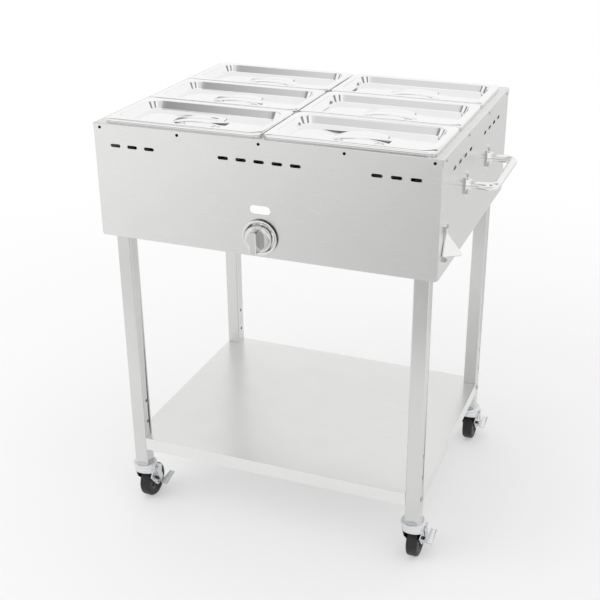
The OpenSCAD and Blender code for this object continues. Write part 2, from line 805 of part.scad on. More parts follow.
// Wheel: rounded tread, recessed sides and a hub that runs on the axle
module wheel() {
    half = wheel_w / 2;
    hub = cheek_x - 0.3;
    color([0.10, 0.10, 0.10]) translate([0, trail, wheel_r]) rotate([0, 90, 0]) difference() {
        rotate_extrude() difference() {
            union() {
                polygon(concat(
                    [[0, -half + 3], [wheel_r - 14, -half + 3], [wheel_r - 12, -half]],
                    arc(wheel_r - 5, -half + 5, 5, -90, 0),
                    arc(wheel_r - 5, half - 5, 5, 0, 90),
                    [[wheel_r - 12, half], [wheel_r - 14, half - 3], [0, half - 3]]));
                translate([0, -hub]) square([9, 2 * hub]);
            }
            translate([-1, -hub - 1]) square([1 + axle_d / 2 + run, 2 * hub + 2]);
        }
        for (i = [0:5], s = [-1, 1]) rotate([0, 0, i * 60])
            translate([16, 0, s * (half - 3)]) cylinder(r = 4, h = 6, center = true);
    }
}

module wheel_front_left() { at_caster(-1, -1) wheel(); }
module wheel_front_right() { at_caster(1, -1) wheel(); }
module wheel_back_left() { at_caster(-1, 1) wheel(); }
module wheel_back_right() { at_caster(1, 1) wheel(); }

// Axle bolt with a hexagon head on the left and a nut on the right
module axle() {
    out = cheek_x + fork_t;
    color([0.70, 0.70, 0.70]) translate([0, trail, wheel_r]) {
        rod_x(axle_d / 2, -out - 2, out + nut_h + 1);
        translate([-out - 4, 0, 0]) rotate([0, 90, 0]) cylinder(r = axle_d / 2 + 3, h = 4, $fn = 6);
        translate([out, 0, 0]) nut_x(axle_d / 2, nut_h);
    }
}

module axle_front_left() { at_caster(-1, -1) axle(); }
module axle_front_right() { at_caster(1, -1) axle(); }
module axle_back_left() { at_caster(-1, 1) axle(); }
module axle_back_right() { at_caster(1, 1) axle(); }

// Brake pedal: its side plate hangs on the pin outside the right cheek and runs down and back to the
// foot pad. Its shoe reaches in over the wheel, and comes down on the tread when the pad is pressed.
module brake() {
    shoe_y = trail - 1.5;
    shoe_w = 6;
    lever_out = lever_x + lever_t;
    color([0.80, 0.80, 0.80]) difference() {
        union() {
            translate([lever_x + lever_t / 2, 0, 0]) side_view(lever_t) {
                translate(lever_pin) circle(6);
                polygon([
                    lever_pin + [-5.6, -2], lever_heel + [-5, 3], lever_heel, lever_tip, lever_tip + [0, 4],
                    lever_heel + [6, 12], [trail + 2, shoe_z - 15], [shoe_y + shoe_w, shoe_z - 2],
                    [shoe_y + shoe_w, shoe_z + lever_t], lever_pin + [1.5, 5.8]
                ]);
            }
            translate([lever_x + pedal_w / 2, 0, 0]) side_view(pedal_w)
                polygon([lever_heel, lever_tip, lever_tip + [0, lever_t], lever_heel + [0, lever_t]]);
            translate([(2 + lever_out) / 2, 0, 0]) side_view(lever_out - 2)
                translate([shoe_y, shoe_z]) square([shoe_w, lever_t]);
        }
        translate([0, lever_pin.x, lever_pin.y]) rod_x(lever_pin_r + run, lever_x - 1, lever_out + 1);
    }
}

module brake_front_left() { at_caster(-1, -1) brake(); }
module brake_front_right() { at_caster(1, -1) brake(); }
module brake_back_left() { at_caster(-1, 1) brake(); }
module brake_back_right() { at_caster(1, 1) brake(); }

// Side handle

module handle() {
    half = handle_span / 2;
    arm = handle_out - handle_bend - flange_t;
    bar = handle_span - 2 * handle_bend;
    color([0.85, 0.85, 0.85]) translate([side_x + flange_t, 0, handle_z]) {
        for (s = [0, 1]) mirror([0, s, 0]) {
            translate([0, half, 0]) rotate([0, 90, 0]) linear_extrude(arm) tube_2d();
            translate([arm, half - handle_bend, 0])
                rotate_extrude(angle = 90) translate([handle_bend, 0]) tube_2d();
        }
        translate([arm + handle_bend, 0, 0]) rotate([90, 0, 0]) linear_extrude(bar, center = true) tube_2d();
    }
}

module tube_2d() {
    difference() {
        circle(handle_r);
        circle(handle_r - 1.2);
    }
}

module handle_flanges() {
    color([0.82, 0.82, 0.82]) for (s = [-1, 1]) translate([side_x, s * handle_span / 2, handle_z]) {
        difference() {
            translate([flange_t / 2, 0, 0]) side_view(flange_t) rotate(90) slot_2d(flange_screws + 20, 24);
            for (v = [-1, 1]) translate([0, 0, v * flange_screws / 2])
                rod_x(side_screw_d / 2 + run, -1, flange_t + 1);
        }
        rotate([0, 90, 0]) rotate_extrude() polygon([
            [handle_r + run, flange_t - 1], [handle_r + 4, flange_t - 1], [handle_r + 3, flange_t + 8],
            [handle_r + 2, flange_t + 9], [handle_r + run, flange_t + 9]
        ]);
    }
}

// Places what is given at each screw of the side handle and the bottle opener
module fitting_screws() {
    for (s = [-1, 1], v = [-1, 1])
        translate([0, s * handle_span / 2, handle_z + v * flange_screws / 2]) children();
    for (v = [-1, 1]) translate([0, opener_yc, opener_z + v * opener_screws / 2]) children();
}

module side_screws() {
    color([0.60, 0.60, 0.60]) for (s = [-1, 1], v = [-1, 1])
        translate([side_x + flange_t, s * handle_span / 2, handle_z + v * flange_screws / 2]) pan_screw(flange_t);
    color([0.60, 0.60, 0.60]) for (v = [-1, 1])
        translate([side_x + opener_t, opener_yc, opener_z + v * opener_screws / 2]) pan_screw(opener_t);
}

// A pan-head screw along X through a piece of thickness t and the panel, with its nut inside
module pan_screw(t) {
    rod_x(side_screw_d / 2, -t - panel_t - 6, 0.5);
    rotate([0, 90, 0]) difference() {
        intersection() {
            cylinder(r = 4.2, h = 2.6);
            translate([0, 0, -3.4]) sphere(6);
        }
        translate([0, 0, 2.6]) cube([5, 1, 2.4], center = true);
    }
    translate([-t - panel_t - 4, 0, 0]) nut_x(side_screw_d / 2, 4);
}

// Bottle opener: a plate with a ridged hollow hood over a catch for the cap's edge
module bottle_opener() {
    plate_w = 15;
    color([0.80, 0.80, 0.80]) translate([side_x, opener_yc, 0]) {
        difference() {
            translate([opener_t / 2, 0, opener_z]) side_view(opener_t)
                rotate(90) slot_2d(opener_screws + 16, plate_w);
            for (v = [-1, 1]) translate([0, 0, opener_z + v * opener_screws / 2])
                rod_x(side_screw_d / 2 + run, -1, opener_t + 1);
        }
        difference() {
            opener_hood(0);
            opener_hood(2.6);
            translate([0, -plate_w / 2, hood_z - 5]) cube([opener_t - e, plate_w, hood_h]);
        }
        translate([opener_t - e, -5, hood_z + 9]) cube([7, 10, 3]);
        translate([opener_t + 4, -5, hood_z + 11]) cube([3, 10, 4]);
    }
}

// The hood, or with an inset its hollow: a ridge that runs from the plate out to a tip
module opener_hood(inset) {
    r = 4 - inset / 2;
    edge = inset > 0 ? 1 : 0;
    intersection() {
        hull() {
            for (tip = [[4, hood_w], [4, -hood_w], [hood_reach - 4, 0]])
                translate([tip.x - (tip.x > 4 ? inset * 0.7 : 0), tip.y * (1 - inset / 36), hood_z - edge])
                    cylinder(r = r, h = 3 + edge, $fn = 24);
            translate([3, 0, hood_z + hood_h - 4 - 1.5 * inset]) cylinder(r = 3 - inset / 2, h = 4, $fn = 24);
        }
        translate([inset > 0 ? -1 : 0, -2 * hood_w, hood_z - 2]) cube([60, 4 * hood_w, 60]);
    }
}

// Screws of the body: black ones through the panels, plain ones through the side lips

module panel_screws() {
    z = body_top - screw_drop;
    for (r = [0, 180]) rotate([0, 0, r]) {
        color([0.08, 0.08, 0.08]) for (x = front_screws) translate([x, front_y, z])
            rotate([0, 0, -90]) body_screw();
        color([0.5, 0.5, 0.5]) for (y = side_screw_y) translate([side_x + tank_t, y, z]) body_screw();
    }
    color([0.5, 0.5, 0.5]) for (s = [-1, 1]) translate([s * bezel_screw, front_y - bezel_t, knob_z])
        rotate([0, 0, -90]) body_screw();
}

module body_screw() {
    rod_x(screw_d / 2, -8, 0.5);
    rotate([0, 90, 0]) intersection() {
        cylinder(r = screw_d * 0.7, h = screw_head);
        translate([0, 0, -2.5]) sphere(4.1);
    }
}

// Gas control

bezel_screw = 17;     // from the knob's axis to a screw of the bezel
bezel_t = 1.2;
bezel_rise = 4.6;     // thickness of the seal that the bezel's rim presses on

module bezel_seal() {
    color([0.06, 0.06, 0.06]) translate([0, front_y, knob_z]) rotate([90, 0, 0]) difference() {
        cylinder(r = bezel_r - 0.8, h = bezel_rise);
        translate([0, 0, -1]) cylinder(r = bezel_r - 3.8, h = bezel_rise + 2);
    }
}

module bezel() {
    color([0.75, 0.75, 0.75]) translate([0, front_y, knob_z]) rotate([90, 0, 0]) difference() {
        rotate_extrude() polygon(concat(
            [[stem_r + 3, 0], [bezel_r - 9.5, 0], [bezel_r - 4, bezel_rise], [bezel_r - 0.6, bezel_rise]],
            arc(bezel_r - 0.6, bezel_rise + 0.6, 0.6, -90, 90, 8),
            [[bezel_r - 4.5, bezel_rise + bezel_t], [bezel_r - 10, bezel_t], [stem_r + 3, bezel_t]]));
        for (s = [-1, 1]) translate([s * bezel_screw, 0, -1]) cylinder(r = screw_d / 2 + run, h = 4);
    }
}

// Knob: round skirt, tapering core and a wide grip with a chamfered pointer end
module knob() {
    back = 7.4;
    color([0.80, 0.80, 0.80]) translate([0, front_y, knob_z]) rotate([90, 0, 0]) difference() {
        union() {
            translate([0, 0, back]) rotate_extrude() polygon(concat(
                [[0, 0], [knob_r - 0.8, 0], [knob_r, 0.8]],
                arc(knob_r - 4, 5, 4, 0, 90), [[20, 9.5], [0, 9.5]]));
            intersection() {
                translate([0, 0, back]) cylinder(r1 = knob_r - 3, r2 = knob_r - 6, h = knob_out - back);
                translate([0, 0, back]) rotate([90, 0, 0]) linear_extrude(2 * knob_r, center = true) polygon([
                    [-11, 0], [11, 0], [7.5, 12], [6.5, knob_out - back - 1.5], [5, knob_out - back],
                    [-5, knob_out - back], [-6.5, knob_out - back - 1.5], [-7.5, 12]
                ]);
                rotate([90, 0, 90]) linear_extrude(2 * knob_r, center = true) polygon([
                    [-knob_r, back], [knob_r, back], [knob_r, knob_out - 9], [knob_r - 8, knob_out],
                    [-knob_r + 5, knob_out], [-knob_r, knob_out - 5]
                ]);
            }
        }
        translate([0, 0, -1]) cylinder(r = stem_r + run, h = 1 + stem_front);
    }
}

stem_front = 22;      // how far the stem reaches out of the panel

// Stem: turned with the knob, with a collar that bears on the washer
module valve_stem() {
    color([0.78, 0.66, 0.34]) translate([0, 0, knob_z]) {
        rod_y(stem_r, front_y - stem_front, bonnet_y + 26);
        rod_y(stem_r + 2, bonnet_y + 6, bonnet_y + 8);
    }
}

// Washer: keyed in the bonnet, so it slides with the stem and doesn't turn
module valve_washer() {
    color([0.72, 0.72, 0.72]) translate([0, 0, knob_z]) difference() {
        union() {
            rod_y(stem_r + 4.5, bonnet_y + 8, bonnet_y + 9.5);
            translate([-1.5, bonnet_y + 8, 0]) cube([3, 1.5, stem_r + 6.5]);
        }
        rod_y(stem_r + run, bonnet_y + 7, bonnet_y + 11);
    }
}

module valve_body() {
    color([0.78, 0.66, 0.34]) translate([0, 0, knob_z]) difference() {
        union() {
            rod_y(14, bonnet_y, bonnet_y + 22);
            translate([-15, bonnet_y + 19, -13]) cube([30, 30, 26]);
            for (s = [-1, 1]) hull() {
                translate([s * bezel_screw, 0, 0]) rod_y(4.5, bonnet_y, bonnet_y + 5);
                rod_y(8, bonnet_y, bonnet_y + 5);
            }
        }
        rod_y(stem_r + 2.6, bonnet_y - 1, bonnet_y + 7.9);
        rod_y(stem_r + 5, bonnet_y + 7.8, bonnet_y + 19);
        translate([-1.8, bonnet_y + 7.8, 0]) cube([3.6, 11.2, stem_r + 7]);
        rod_y(stem_r + run, bonnet_y + 15, bonnet_y + 34);
        for (s = [-1, 1]) translate([s * bezel_screw, 0, 0]) rod_y(screw_d / 2 + run, bonnet_y - 1, bonnet_y + 8);
        rod_y(4, bonnet_y + 30, bonnet_y + 50);
        translate([0, bonnet_y + 34, -14]) cylinder(r = 5, h = 12);
    }
}

// Jet: a hexagon screwed into the back of the valve, with a fine bore that aims into the burner
module gas_jet() {
    color([0.78, 0.66, 0.34]) translate([0, bonnet_y + 49, knob_z]) rotate([-90, 0, 0]) difference() {
        union() {
            translate([0, 0, -9]) cylinder(r = 4 - run, h = 10);
            cylinder(r = 7, h = 6, $fn = 6);
            cylinder(r = 5, h = 11);
            cylinder(r = 3, h = 14);
        }
        translate([0, 0, -10]) cylinder(r = 2, h = 18);
        cylinder(r = 0.6, h = 20);
    }
}

// Gas inlet: a hexagon and a threaded tail, drawn plain, that points down to the hose
module gas_inlet() {
    low = -knob_up + 7;
    color([0.78, 0.66, 0.34]) translate([0, bonnet_y + 34, knob_z]) difference() {
        union() {
            translate([0, 0, -13]) cylinder(r = 5 - run, h = 6);
            translate([0, 0, -18]) cylinder(r = 9, h = 5, $fn = 6);
            translate([0, 0, low]) cylinder(r1 = tail_r - 1, r2 = tail_r, h = 1);
            translate([0, 0, low + 1]) cylinder(r = tail_r, h = -18 - low);
        }
        translate([0, 0, low - 1]) cylinder(r = 3, h = 40);
    }
}

// Burner: mixer bell over the jet, feed tube and a cross tube with a row of flame ports
module burner() {
    t = 1.5;
    bell = bonnet_y + 60;
    ports = floor((burner_l / 2 - 12) / port_pitch);
    color([0.45, 0.45, 0.45]) translate([0, 0, knob_z]) difference() {
        union() {
            rod_x(burner_r, -burner_l / 2, burner_l / 2);
            rod_y(feed_r, bell + 20, 0);
            translate([0, bell, 0]) rotate([-90, 0, 0]) cylinder(r1 = feed_r + 4, r2 = feed_r, h = 22);
        }
        rod_x(burner_r - t, -burner_l / 2 + t, burner_l / 2 - t);
        rod_y(feed_r - t, bell + 18, 0);
        translate([0, bell - e, 0]) rotate([-90, 0, 0]) cylinder(r1 = feed_r + 4 - t, r2 = feed_r - t, h = 22);
        for (i = [-ports:ports]) translate([i * port_pitch, 0, 0]) cylinder(d = port_d, h = burner_d);
        for (a = [0, 90]) translate([0, bell + 9, 0]) rotate([0, a + 45, 0])
            cube([2 * feed_d + 20, 7, 7], center = true);
    }
}

// Straps that hang the cross burner from the tank's floor
module burner_brackets() {
    strap = 16;
    foot = 28;
    x = burner_l / 2 - 50;
    steel() for (s = [-1, 1]) translate([s * x, 0, 0]) difference() {
        union() {
            translate([0, 0, knob_z]) rod_x(burner_r + 2, -strap / 2, strap / 2);
            translate([-strap / 2, -1, knob_z + burner_r]) cube([strap, 2, tank_z - knob_z - burner_r]);
            translate([-strap / 2, -foot / 2, tank_z - 2]) cube([strap, foot, 2]);
        }
        translate([0, 0, knob_z]) rod_x(burner_r + slip, -strap, strap);
    }
}

tank();
front_panel();
back_panel();
left_panel();
right_panel();
pan_bars();
pan_front_left();
pan_middle_left();
pan_back_left();
pan_front_right();
pan_middle_right();
pan_back_right();
lid_front_left();
lid_middle_left();
lid_back_left();
lid_front_right();
lid_middle_right();
lid_back_right();
leg_front_left();
leg_front_right();
leg_back_left();
leg_back_right();
leg_sockets();
shelf();
frame_bolts();
caster_top_front_left();
caster_top_front_right();
caster_top_back_left();
caster_top_back_right();
fork_front_left();
fork_front_right();
fork_back_left();
fork_back_right();
wheel_front_left();
wheel_front_right();
wheel_back_left();
wheel_back_right();
axle_front_left();
axle_front_right();
axle_back_left();
axle_back_right();
brake_front_left();
brake_front_right();
brake_back_left();
brake_back_right();
handle();
handle_flanges();
side_screws();
bottle_opener();
panel_screws();
bezel_seal();
bezel();
knob();
valve_stem();
valve_washer();
valve_body();
gas_jet();
gas_inlet();
burner();
burner_brackets();
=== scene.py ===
"""Looks of the mobile steam table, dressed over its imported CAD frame.

Shapes are drawn in millimetres in the CAD's own frame, with the origin on the floor under the
body's centre, +X to the handle, +Y to the back and +Z up. They turn to metres when they are finished.
"""

import json
import logging
import math
from dataclasses import dataclass
from enum import Enum

import bmesh
import bpy
from mathutils import Matrix, Vector


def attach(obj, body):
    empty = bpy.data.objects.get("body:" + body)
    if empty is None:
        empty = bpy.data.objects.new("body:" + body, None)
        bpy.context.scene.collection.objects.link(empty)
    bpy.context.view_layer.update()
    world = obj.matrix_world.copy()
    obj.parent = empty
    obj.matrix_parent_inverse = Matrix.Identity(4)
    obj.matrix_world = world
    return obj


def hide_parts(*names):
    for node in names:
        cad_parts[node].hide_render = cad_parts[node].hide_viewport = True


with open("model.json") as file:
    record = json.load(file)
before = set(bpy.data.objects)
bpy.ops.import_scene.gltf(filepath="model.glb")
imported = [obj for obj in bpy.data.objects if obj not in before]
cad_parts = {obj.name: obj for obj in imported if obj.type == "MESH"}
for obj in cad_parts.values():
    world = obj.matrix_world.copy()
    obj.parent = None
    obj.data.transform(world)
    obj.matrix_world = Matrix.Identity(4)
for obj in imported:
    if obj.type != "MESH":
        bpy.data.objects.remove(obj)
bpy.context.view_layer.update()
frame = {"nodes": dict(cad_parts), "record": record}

log = logging.getLogger("steam_table")

MM = 0.001
# Points closer than this many millimetres are one point, in drawn meshes and in the CAD's.
DRAWN_WELD = 0.0005
CAD_WELD = 0.002
# Edges that turn less than this many degrees are shaded smooth.
SMOOTH = 32.0
# Nearly all values of a noise texture lie in this range.
NOISE = (0.3, 0.7)
CORNERS = {"front_left": (-1, -1), "front_right": (1, -1), "back_left": (-1, 1), "back_right": (1, 1)}
PLACES = {
    f"{row}_{column}": (x, y)
    for column, x in (("left", -164.5), ("right", 164.5))
    for row, y in (("front", -178.0), ("middle", 0.0), ("back", 178.0))
}
Loop = list[Vector]
Profile = list[tuple[float, float]]
Tree = bpy.types.NodeTree
Node = bpy.types.Node
Socket = bpy.types.NodeSocket
Material = bpy.types.Material
Object = bpy.types.Object
BMesh = bmesh.types.BMesh


class Grain(Enum):
    """The way a metal's surface was brushed, as how far its streaks are drawn out along each axis."""

    X = (0.015, 1.0, 1.0)
    Y = (1.0, 0.015, 1.0)
    Z = (1.0, 1.0, 0.015)
    NONE = (1.0, 1.0, 1.0)


# Nodes


def linear(hex_colour: str) -> tuple[float, float, float, float]:
    """Turns an sRGB hex colour into a linear one.

    Args:
        hex_colour: Six hex digits after a hash sign.

    Returns:
        Red, green, blue and an alpha of 1.
    """
    parts = [int(hex_colour[i : i + 2], 16) / 255 for i in (1, 3, 5)]
    r, g, b = [c / 12.92 if c <= 0.04045 else ((c + 0.055) / 1.055) ** 2.4 for c in parts]
    return r, g, b, 1.0


def add_node(tree: Tree, kind: str, inputs: dict | None = None, **settings) -> Node:
    """Adds one node to a tree.

    Args:
        tree: The node tree.
        kind: The node's type name.
        inputs: Socket name or number, with a value or the socket that feeds it.
        settings: Properties of the node itself.

    Returns:
        The new node.
    """
    node = tree.nodes.new(kind)
    for key, value in settings.items():
        setattr(node, key, value)
    for key, value in (inputs or {}).items():
        for one in value if isinstance(value, list) else [value]:
            if isinstance(one, Socket):
                tree.links.new(one, node.inputs[key])
            else:
                node.inputs[key].default_value = one
    return node


def maths(tree: Tree, operation: str, first: Socket, second: Socket | float) -> Socket:
    """Adds a sum, product, quotient or maximum of two values, and gives its result."""
    return add_node(tree, "ShaderNodeMath", {0: first, 1: second}, operation=operation).outputs[0]


def ranged(
    tree: Tree, value: Socket, given: tuple[float, float], wanted: tuple[float, float], **settings
) -> Socket:
    """Adds a node that maps one range of a value to another, and gives its result.

    Args:
        tree: The node tree.
        value: The value.
        given: The value's range.
        wanted: The range that it is mapped to.
        settings: Properties of the node.

    Returns:
        The mapped value.
    """
    ends = {"From Min": given[0], "From Max": given[1], "To Min": wanted[0], "To Max": wanted[1]}
    return add_node(tree, "ShaderNodeMapRange", {"Value": value} | ends, **settings).outputs["Result"]


def moved(tree: Tree, shape: Socket, z: Socket) -> Socket:
    """Adds nodes that shift a shape along Z, and gives the shifted shape."""
    shift = add_node(tree, "ShaderNodeCombineXYZ", {2: z}).outputs[0]
    return add_node(tree, "GeometryNodeTransform", {"Geometry": shape, "Translation": shift}).outputs[0]


def sized_tree(name: str, sizes: dict[str, float]) -> tuple[Tree, Node]:
    """Starts a Geometry Nodes tree with named inputs for its sizes.

    Args:
        name: The tree's name.
        sizes: Name and value of each size; whole numbers make whole-number inputs.

    Returns:
        The tree and its input node.
    """
    tree = bpy.data.node_groups.new(name, "GeometryNodeTree")
    tree.interface.new_socket("Geometry", in_out="INPUT", socket_type="NodeSocketGeometry")
    for label, value in sizes.items():
        kind = "NodeSocketInt" if isinstance(value, int) else "NodeSocketFloat"
        tree.interface.new_socket(label, in_out="INPUT", socket_type=kind).default_value = value
    tree.interface.new_socket("Geometry", in_out="OUTPUT", socket_type="NodeSocketGeometry")
    return tree, add_node(tree, "NodeGroupInput")


def end_tree(tree: Tree, shape: Socket, material: Material) -> None:
    """Ends a Geometry Nodes tree in real geometry with a material."""
    real = add_node(tree, "GeometryNodeRealizeInstances", {"Geometry": shape})
    dressed = add_node(tree, "GeometryNodeSetMaterial", {"Geometry": real.outputs[0], "Material": material})
    add_node(tree, "NodeGroupOutput", {0: dressed.outputs[0]})


def start_material(name: str) -> tuple[Material, Tree]:
    """Starts a material with the plain shader, and gives it with its node tree."""
    made = bpy.data.materials.new(name)
    made.use_nodes = True
    return made, made.node_tree


# Meshes


def rounded_loop(hx: float, hy: float, radius: float, z: float) -> Loop:
    """Points round a rectangle with round corners, anticlockwise seen from above.

    Args:
        hx: Half the distance between the corners' centres along X.
        hy: The same along Y.
        radius: The corners' radius.
        z: Height of the loop.

    Returns:
        A loop whose number of points is the same for any size.
    """
    arc, along_x, along_y = 12, 26, 8
    points = []
    for i, (sx, sy) in enumerate([(1, 1), (-1, 1), (-1, -1), (1, -1)]):
        turn = [math.radians(90 * (i + k / arc)) for k in range(arc + 1)]
        points += [Vector((sx * hx + radius * math.cos(a), sy * hy + radius * math.sin(a), z)) for a in turn]
        step = Vector((-2 * hx * sx, 0, 0)) if i % 2 == 0 else Vector((0, -2 * hy * sy, 0))
        count = along_x if i % 2 == 0 else along_y
        start = points[-1]
        points += [start + step * (k / count) for k in range(1, count)]
    return points


def round_loop(radius: float, z: float, like: Loop) -> Loop:
    """A circle with one point in the direction of each point of another loop."""
    return [Vector((p.x, p.y, 0)).normalized() * radius + Vector((0, 0, z)) for p in like]


def bend(cx: float, cz: float, radius: float, start: float, end: float, steps: int = 5) -> Profile:
    """Points of a profile's fillet about a centre, between two angles in degrees."""
    turn = [math.radians(start + (end - start) * k / steps) for k in range(steps + 1)]
    return [(cx + radius * math.cos(a), cz + radius * math.sin(a)) for a in turn]


def loft(bm: BMesh, loops: list[Loop], closed: bool = False, cap: bool = False) -> None:
    """Joins neighbouring loops with quads.

    Args:
        bm: The mesh to build in.
        loops: Loops with equal numbers of points.
        closed: Joins the last loop to the first.
        cap: Closes the last loop with a fan to its middle.
    """
    rings = [[bm.verts.new(p) for p in loop] for loop in loops]
    pairs = list(zip(rings, rings[1:])) + ([(rings[-1], rings[0])] if closed else [])
    for a, b in pairs:
        for i in range(len(a)):
            j = (i + 1) % len(a)
            bm.faces.new((a[i], a[j], b[j], b[i]))
    if cap:
        last = rings[-1]
        middle = bm.verts.new(sum((v.co for v in last), Vector()) / len(last))
        for i, vert in enumerate(last):
            bm.faces.new((vert, last[(i + 1) % len(last)], middle))


def lathe(profile: Profile, steps: int = 96) -> BMesh:
    """Turns a closed profile of radii and heights round the Z axis.

    Args:
        profile: Closed line of radius and height; it may run along the axis.
        steps: Steps round the axis.

    Returns:
        The turned mesh.
    """
    bm = bmesh.new()
    turns = [2 * math.pi * k / steps for k in range(steps)]
    loops = [[Vector((r * math.cos(a), r * math.sin(a), z)) for r, z in profile] for a in turns]
    loft(bm, loops, closed=True)
    return bm


def shade(piece: Object, smooth: float) -> None:
    """Shades a piece smooth, and leaves edges that turn more than an angle in degrees crisp."""
    piece.data.shade_smooth()
    piece.data.set_sharp_from_angle(angle=math.radians(smooth))


def finish_piece(
    name: str, bm: BMesh, material: Material, smooth: float = SMOOTH, sheet: bool = False
) -> Object:
    """Makes a piece of a mesh that was drawn in millimetres.

    Args:
        name: The piece's name.
        bm: The mesh, which is freed.
        material: Its finish.
        smooth: Edges that turn less than this many degrees are shaded smooth.
        sheet: Says that the mesh is an open sheet, whose shown side looks up.

    Returns:
        The piece, at the origin with its place in its mesh.
    """
    bmesh.ops.remove_doubles(bm, verts=bm.verts, dist=DRAWN_WELD)
    bmesh.ops.dissolve_degenerate(bm, edges=bm.edges, dist=DRAWN_WELD)
    bmesh.ops.recalc_face_normals(bm, faces=bm.faces)
    if sheet and sum(f.normal.z * f.calc_area() for f in bm.faces) < 0:
        bmesh.ops.reverse_faces(bm, faces=bm.faces)
    bm.transform(Matrix.Scale(MM, 4))
    mesh = bpy.data.meshes.new(name)
    bm.to_mesh(mesh)
    bm.free()
    piece = bpy.data.objects.new(name, mesh)
    bpy.context.scene.collection.objects.link(piece)
    mesh.materials.append(material)
    shade(piece, smooth)
    return piece


def modify(
    piece: Object, kind: str, smooth: float = SMOOTH, sizes: dict[str, float] | None = None, **settings
) -> None:
    """Adds a modifier to a piece and keeps its result as the piece's plain mesh.

    Args:
        piece: The piece.
        kind: The modifier's type name.
        smooth: Shading angle of the result in degrees.
        sizes: Values for named inputs of a Geometry Nodes tree.
        settings: Properties of the modifier.
    """
    modifier = piece.modifiers.new(kind.lower(), kind)
    for key, value in settings.items():
        setattr(modifier, key, value)
    if sizes:
        for item in modifier.node_group.interface.items_tree:
            if item.in_out == "INPUT" and item.name in sizes:
                modifier[item.identifier] = sizes[item.name]
    piece.update_tag()
    depsgraph = bpy.context.evaluated_depsgraph_get()
    old = piece.data
    new = bpy.data.meshes.new_from_object(piece.evaluated_get(depsgraph), depsgraph=depsgraph)
    piece.modifiers.remove(modifier)
    piece.data = new
    bpy.data.meshes.remove(old)
    new.name = piece.name
    shade(piece, smooth)


# Bodies of the CAD nodes

BODY_OF = {node: body for body, nodes in frame["record"]["behaviour"]["bodies"].items() for node in nodes}


def settle(piece: Object, *nodes: str) -> Object:
    """Lets a finished piece stand for CAD nodes, on the body of the first.

    Args:
        piece: The piece.
        nodes: The CAD nodes that it stands for.

    Returns:
        The piece.
    """
    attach(piece, BODY_OF[nodes[0]])
    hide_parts(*nodes)
    log.info("%s: %d faces, rides on %s", piece.name, len(piece.data.polygons), BODY_OF[nodes[0]])
    return piece


def skin(node: str, material: Material, edge: float) -> Object:
    """Covers a CAD node with a smooth copy of its shape, with its edges broken.

    Args:
        node: The CAD node.
        material: The finish.
        edge: Width of the broken edges in millimetres.

    Returns:
        The piece that stands for the node.
    """
    bm = bmesh.new()
    bm.from_mesh(frame["nodes"][node].data)
    bm.transform(Matrix.Scale(1 / MM, 4))
    bmesh.ops.remove_doubles(bm, verts=bm.verts, dist=CAD_WELD)
    piece = finish_piece(f"{node}_skin", bm, material)
    modify(piece, "BEVEL", width=edge * MM, segments=2, limit_method="ANGLE", angle_limit=math.radians(40))
    modify(piece, "WEIGHTED_NORMAL", keep_sharp=True, weight=100)
    return settle(piece, node)


# Finishes


@dataclass(frozen=True)
class Surface:
    """What every finish has: two tints in patches, and a fine pattern in its sheen and its relief."""

    name: str

    def shade(self, tree: Tree, patches: Socket, stops: tuple, sheen: Socket, bumps: Node) -> None:
        """Links tints, sheen and relief to the material's shader.

        Args:
            tree: The material's tree.
            patches: The pattern of the patches.
            stops: Level in the pattern and linear colour of each of the two tints.
            sheen: The roughness.
            bumps: The node that gives the relief.
        """
        shader = tree.nodes["Principled BSDF"]
        tints = add_node(tree, "ShaderNodeValToRGB", {"Fac": patches})
        for element, (position, colour) in zip(tints.color_ramp.elements, stops):
            element.position = position
            element.color = colour
        tree.links.new(tints.outputs["Color"], shader.inputs["Base Color"])
        tree.links.new(sheen, shader.inputs["Roughness"])
        tree.links.new(bumps.outputs["Normal"], shader.inputs["Normal"])


@dataclass(frozen=True)
class Metal(Surface):
    """A bare, plated or oxidised metal, with the streaks and the faint clouds of its surface."""

    colour: str
    roughness: float
    grain: Grain = Grain.NONE
    streak_mm: float = 1.2
    spread: float = 0.004
    relief: float = 0.0008
    cloud: float = 0.012
    cloud_mm: float = 1000 / 12
    deep_mm: float = 0.3

    def material(self) -> Material:
        """Builds the material, with its pattern measured on the object in real millimetres."""
        made, tree = start_material(self.name)
        place = add_node(tree, "ShaderNodeTexCoord").outputs["Object"]
        drawn = add_node(tree, "ShaderNodeMapping", {"Vector": place, "Scale": self.grain.value})
        fine = {"Vector": drawn.outputs["Vector"], "Scale": 1000 / self.streak_mm, "Detail": 3.0}
        streaks = add_node(tree, "ShaderNodeTexNoise", fine).outputs["Fac"]
        coarse = {"Vector": place, "Scale": 1000 / self.cloud_mm, "Detail": 3.0}
        clouds = add_node(tree, "ShaderNodeTexNoise", coarse).outputs["Fac"]
        colour = linear(self.colour)[:3]
        shares = (1 - self.cloud, 1 + self.cloud)
        dark, light = [(*(min(c * share, 1) for c in colour), 1) for share in shares]
        sheen = ranged(tree, streaks, NOISE, (self.roughness - self.spread, self.roughness + self.spread))
        depth = {"Height": streaks, "Strength": self.relief, "Distance": self.deep_mm * MM}
        bumps = add_node(tree, "ShaderNodeBump", depth)
        tree.nodes["Principled BSDF"].inputs["Metallic"].default_value = 1.0
        self.shade(tree, clouds, tuple(zip(NOISE, (dark, light))), sheen, bumps)
        return made


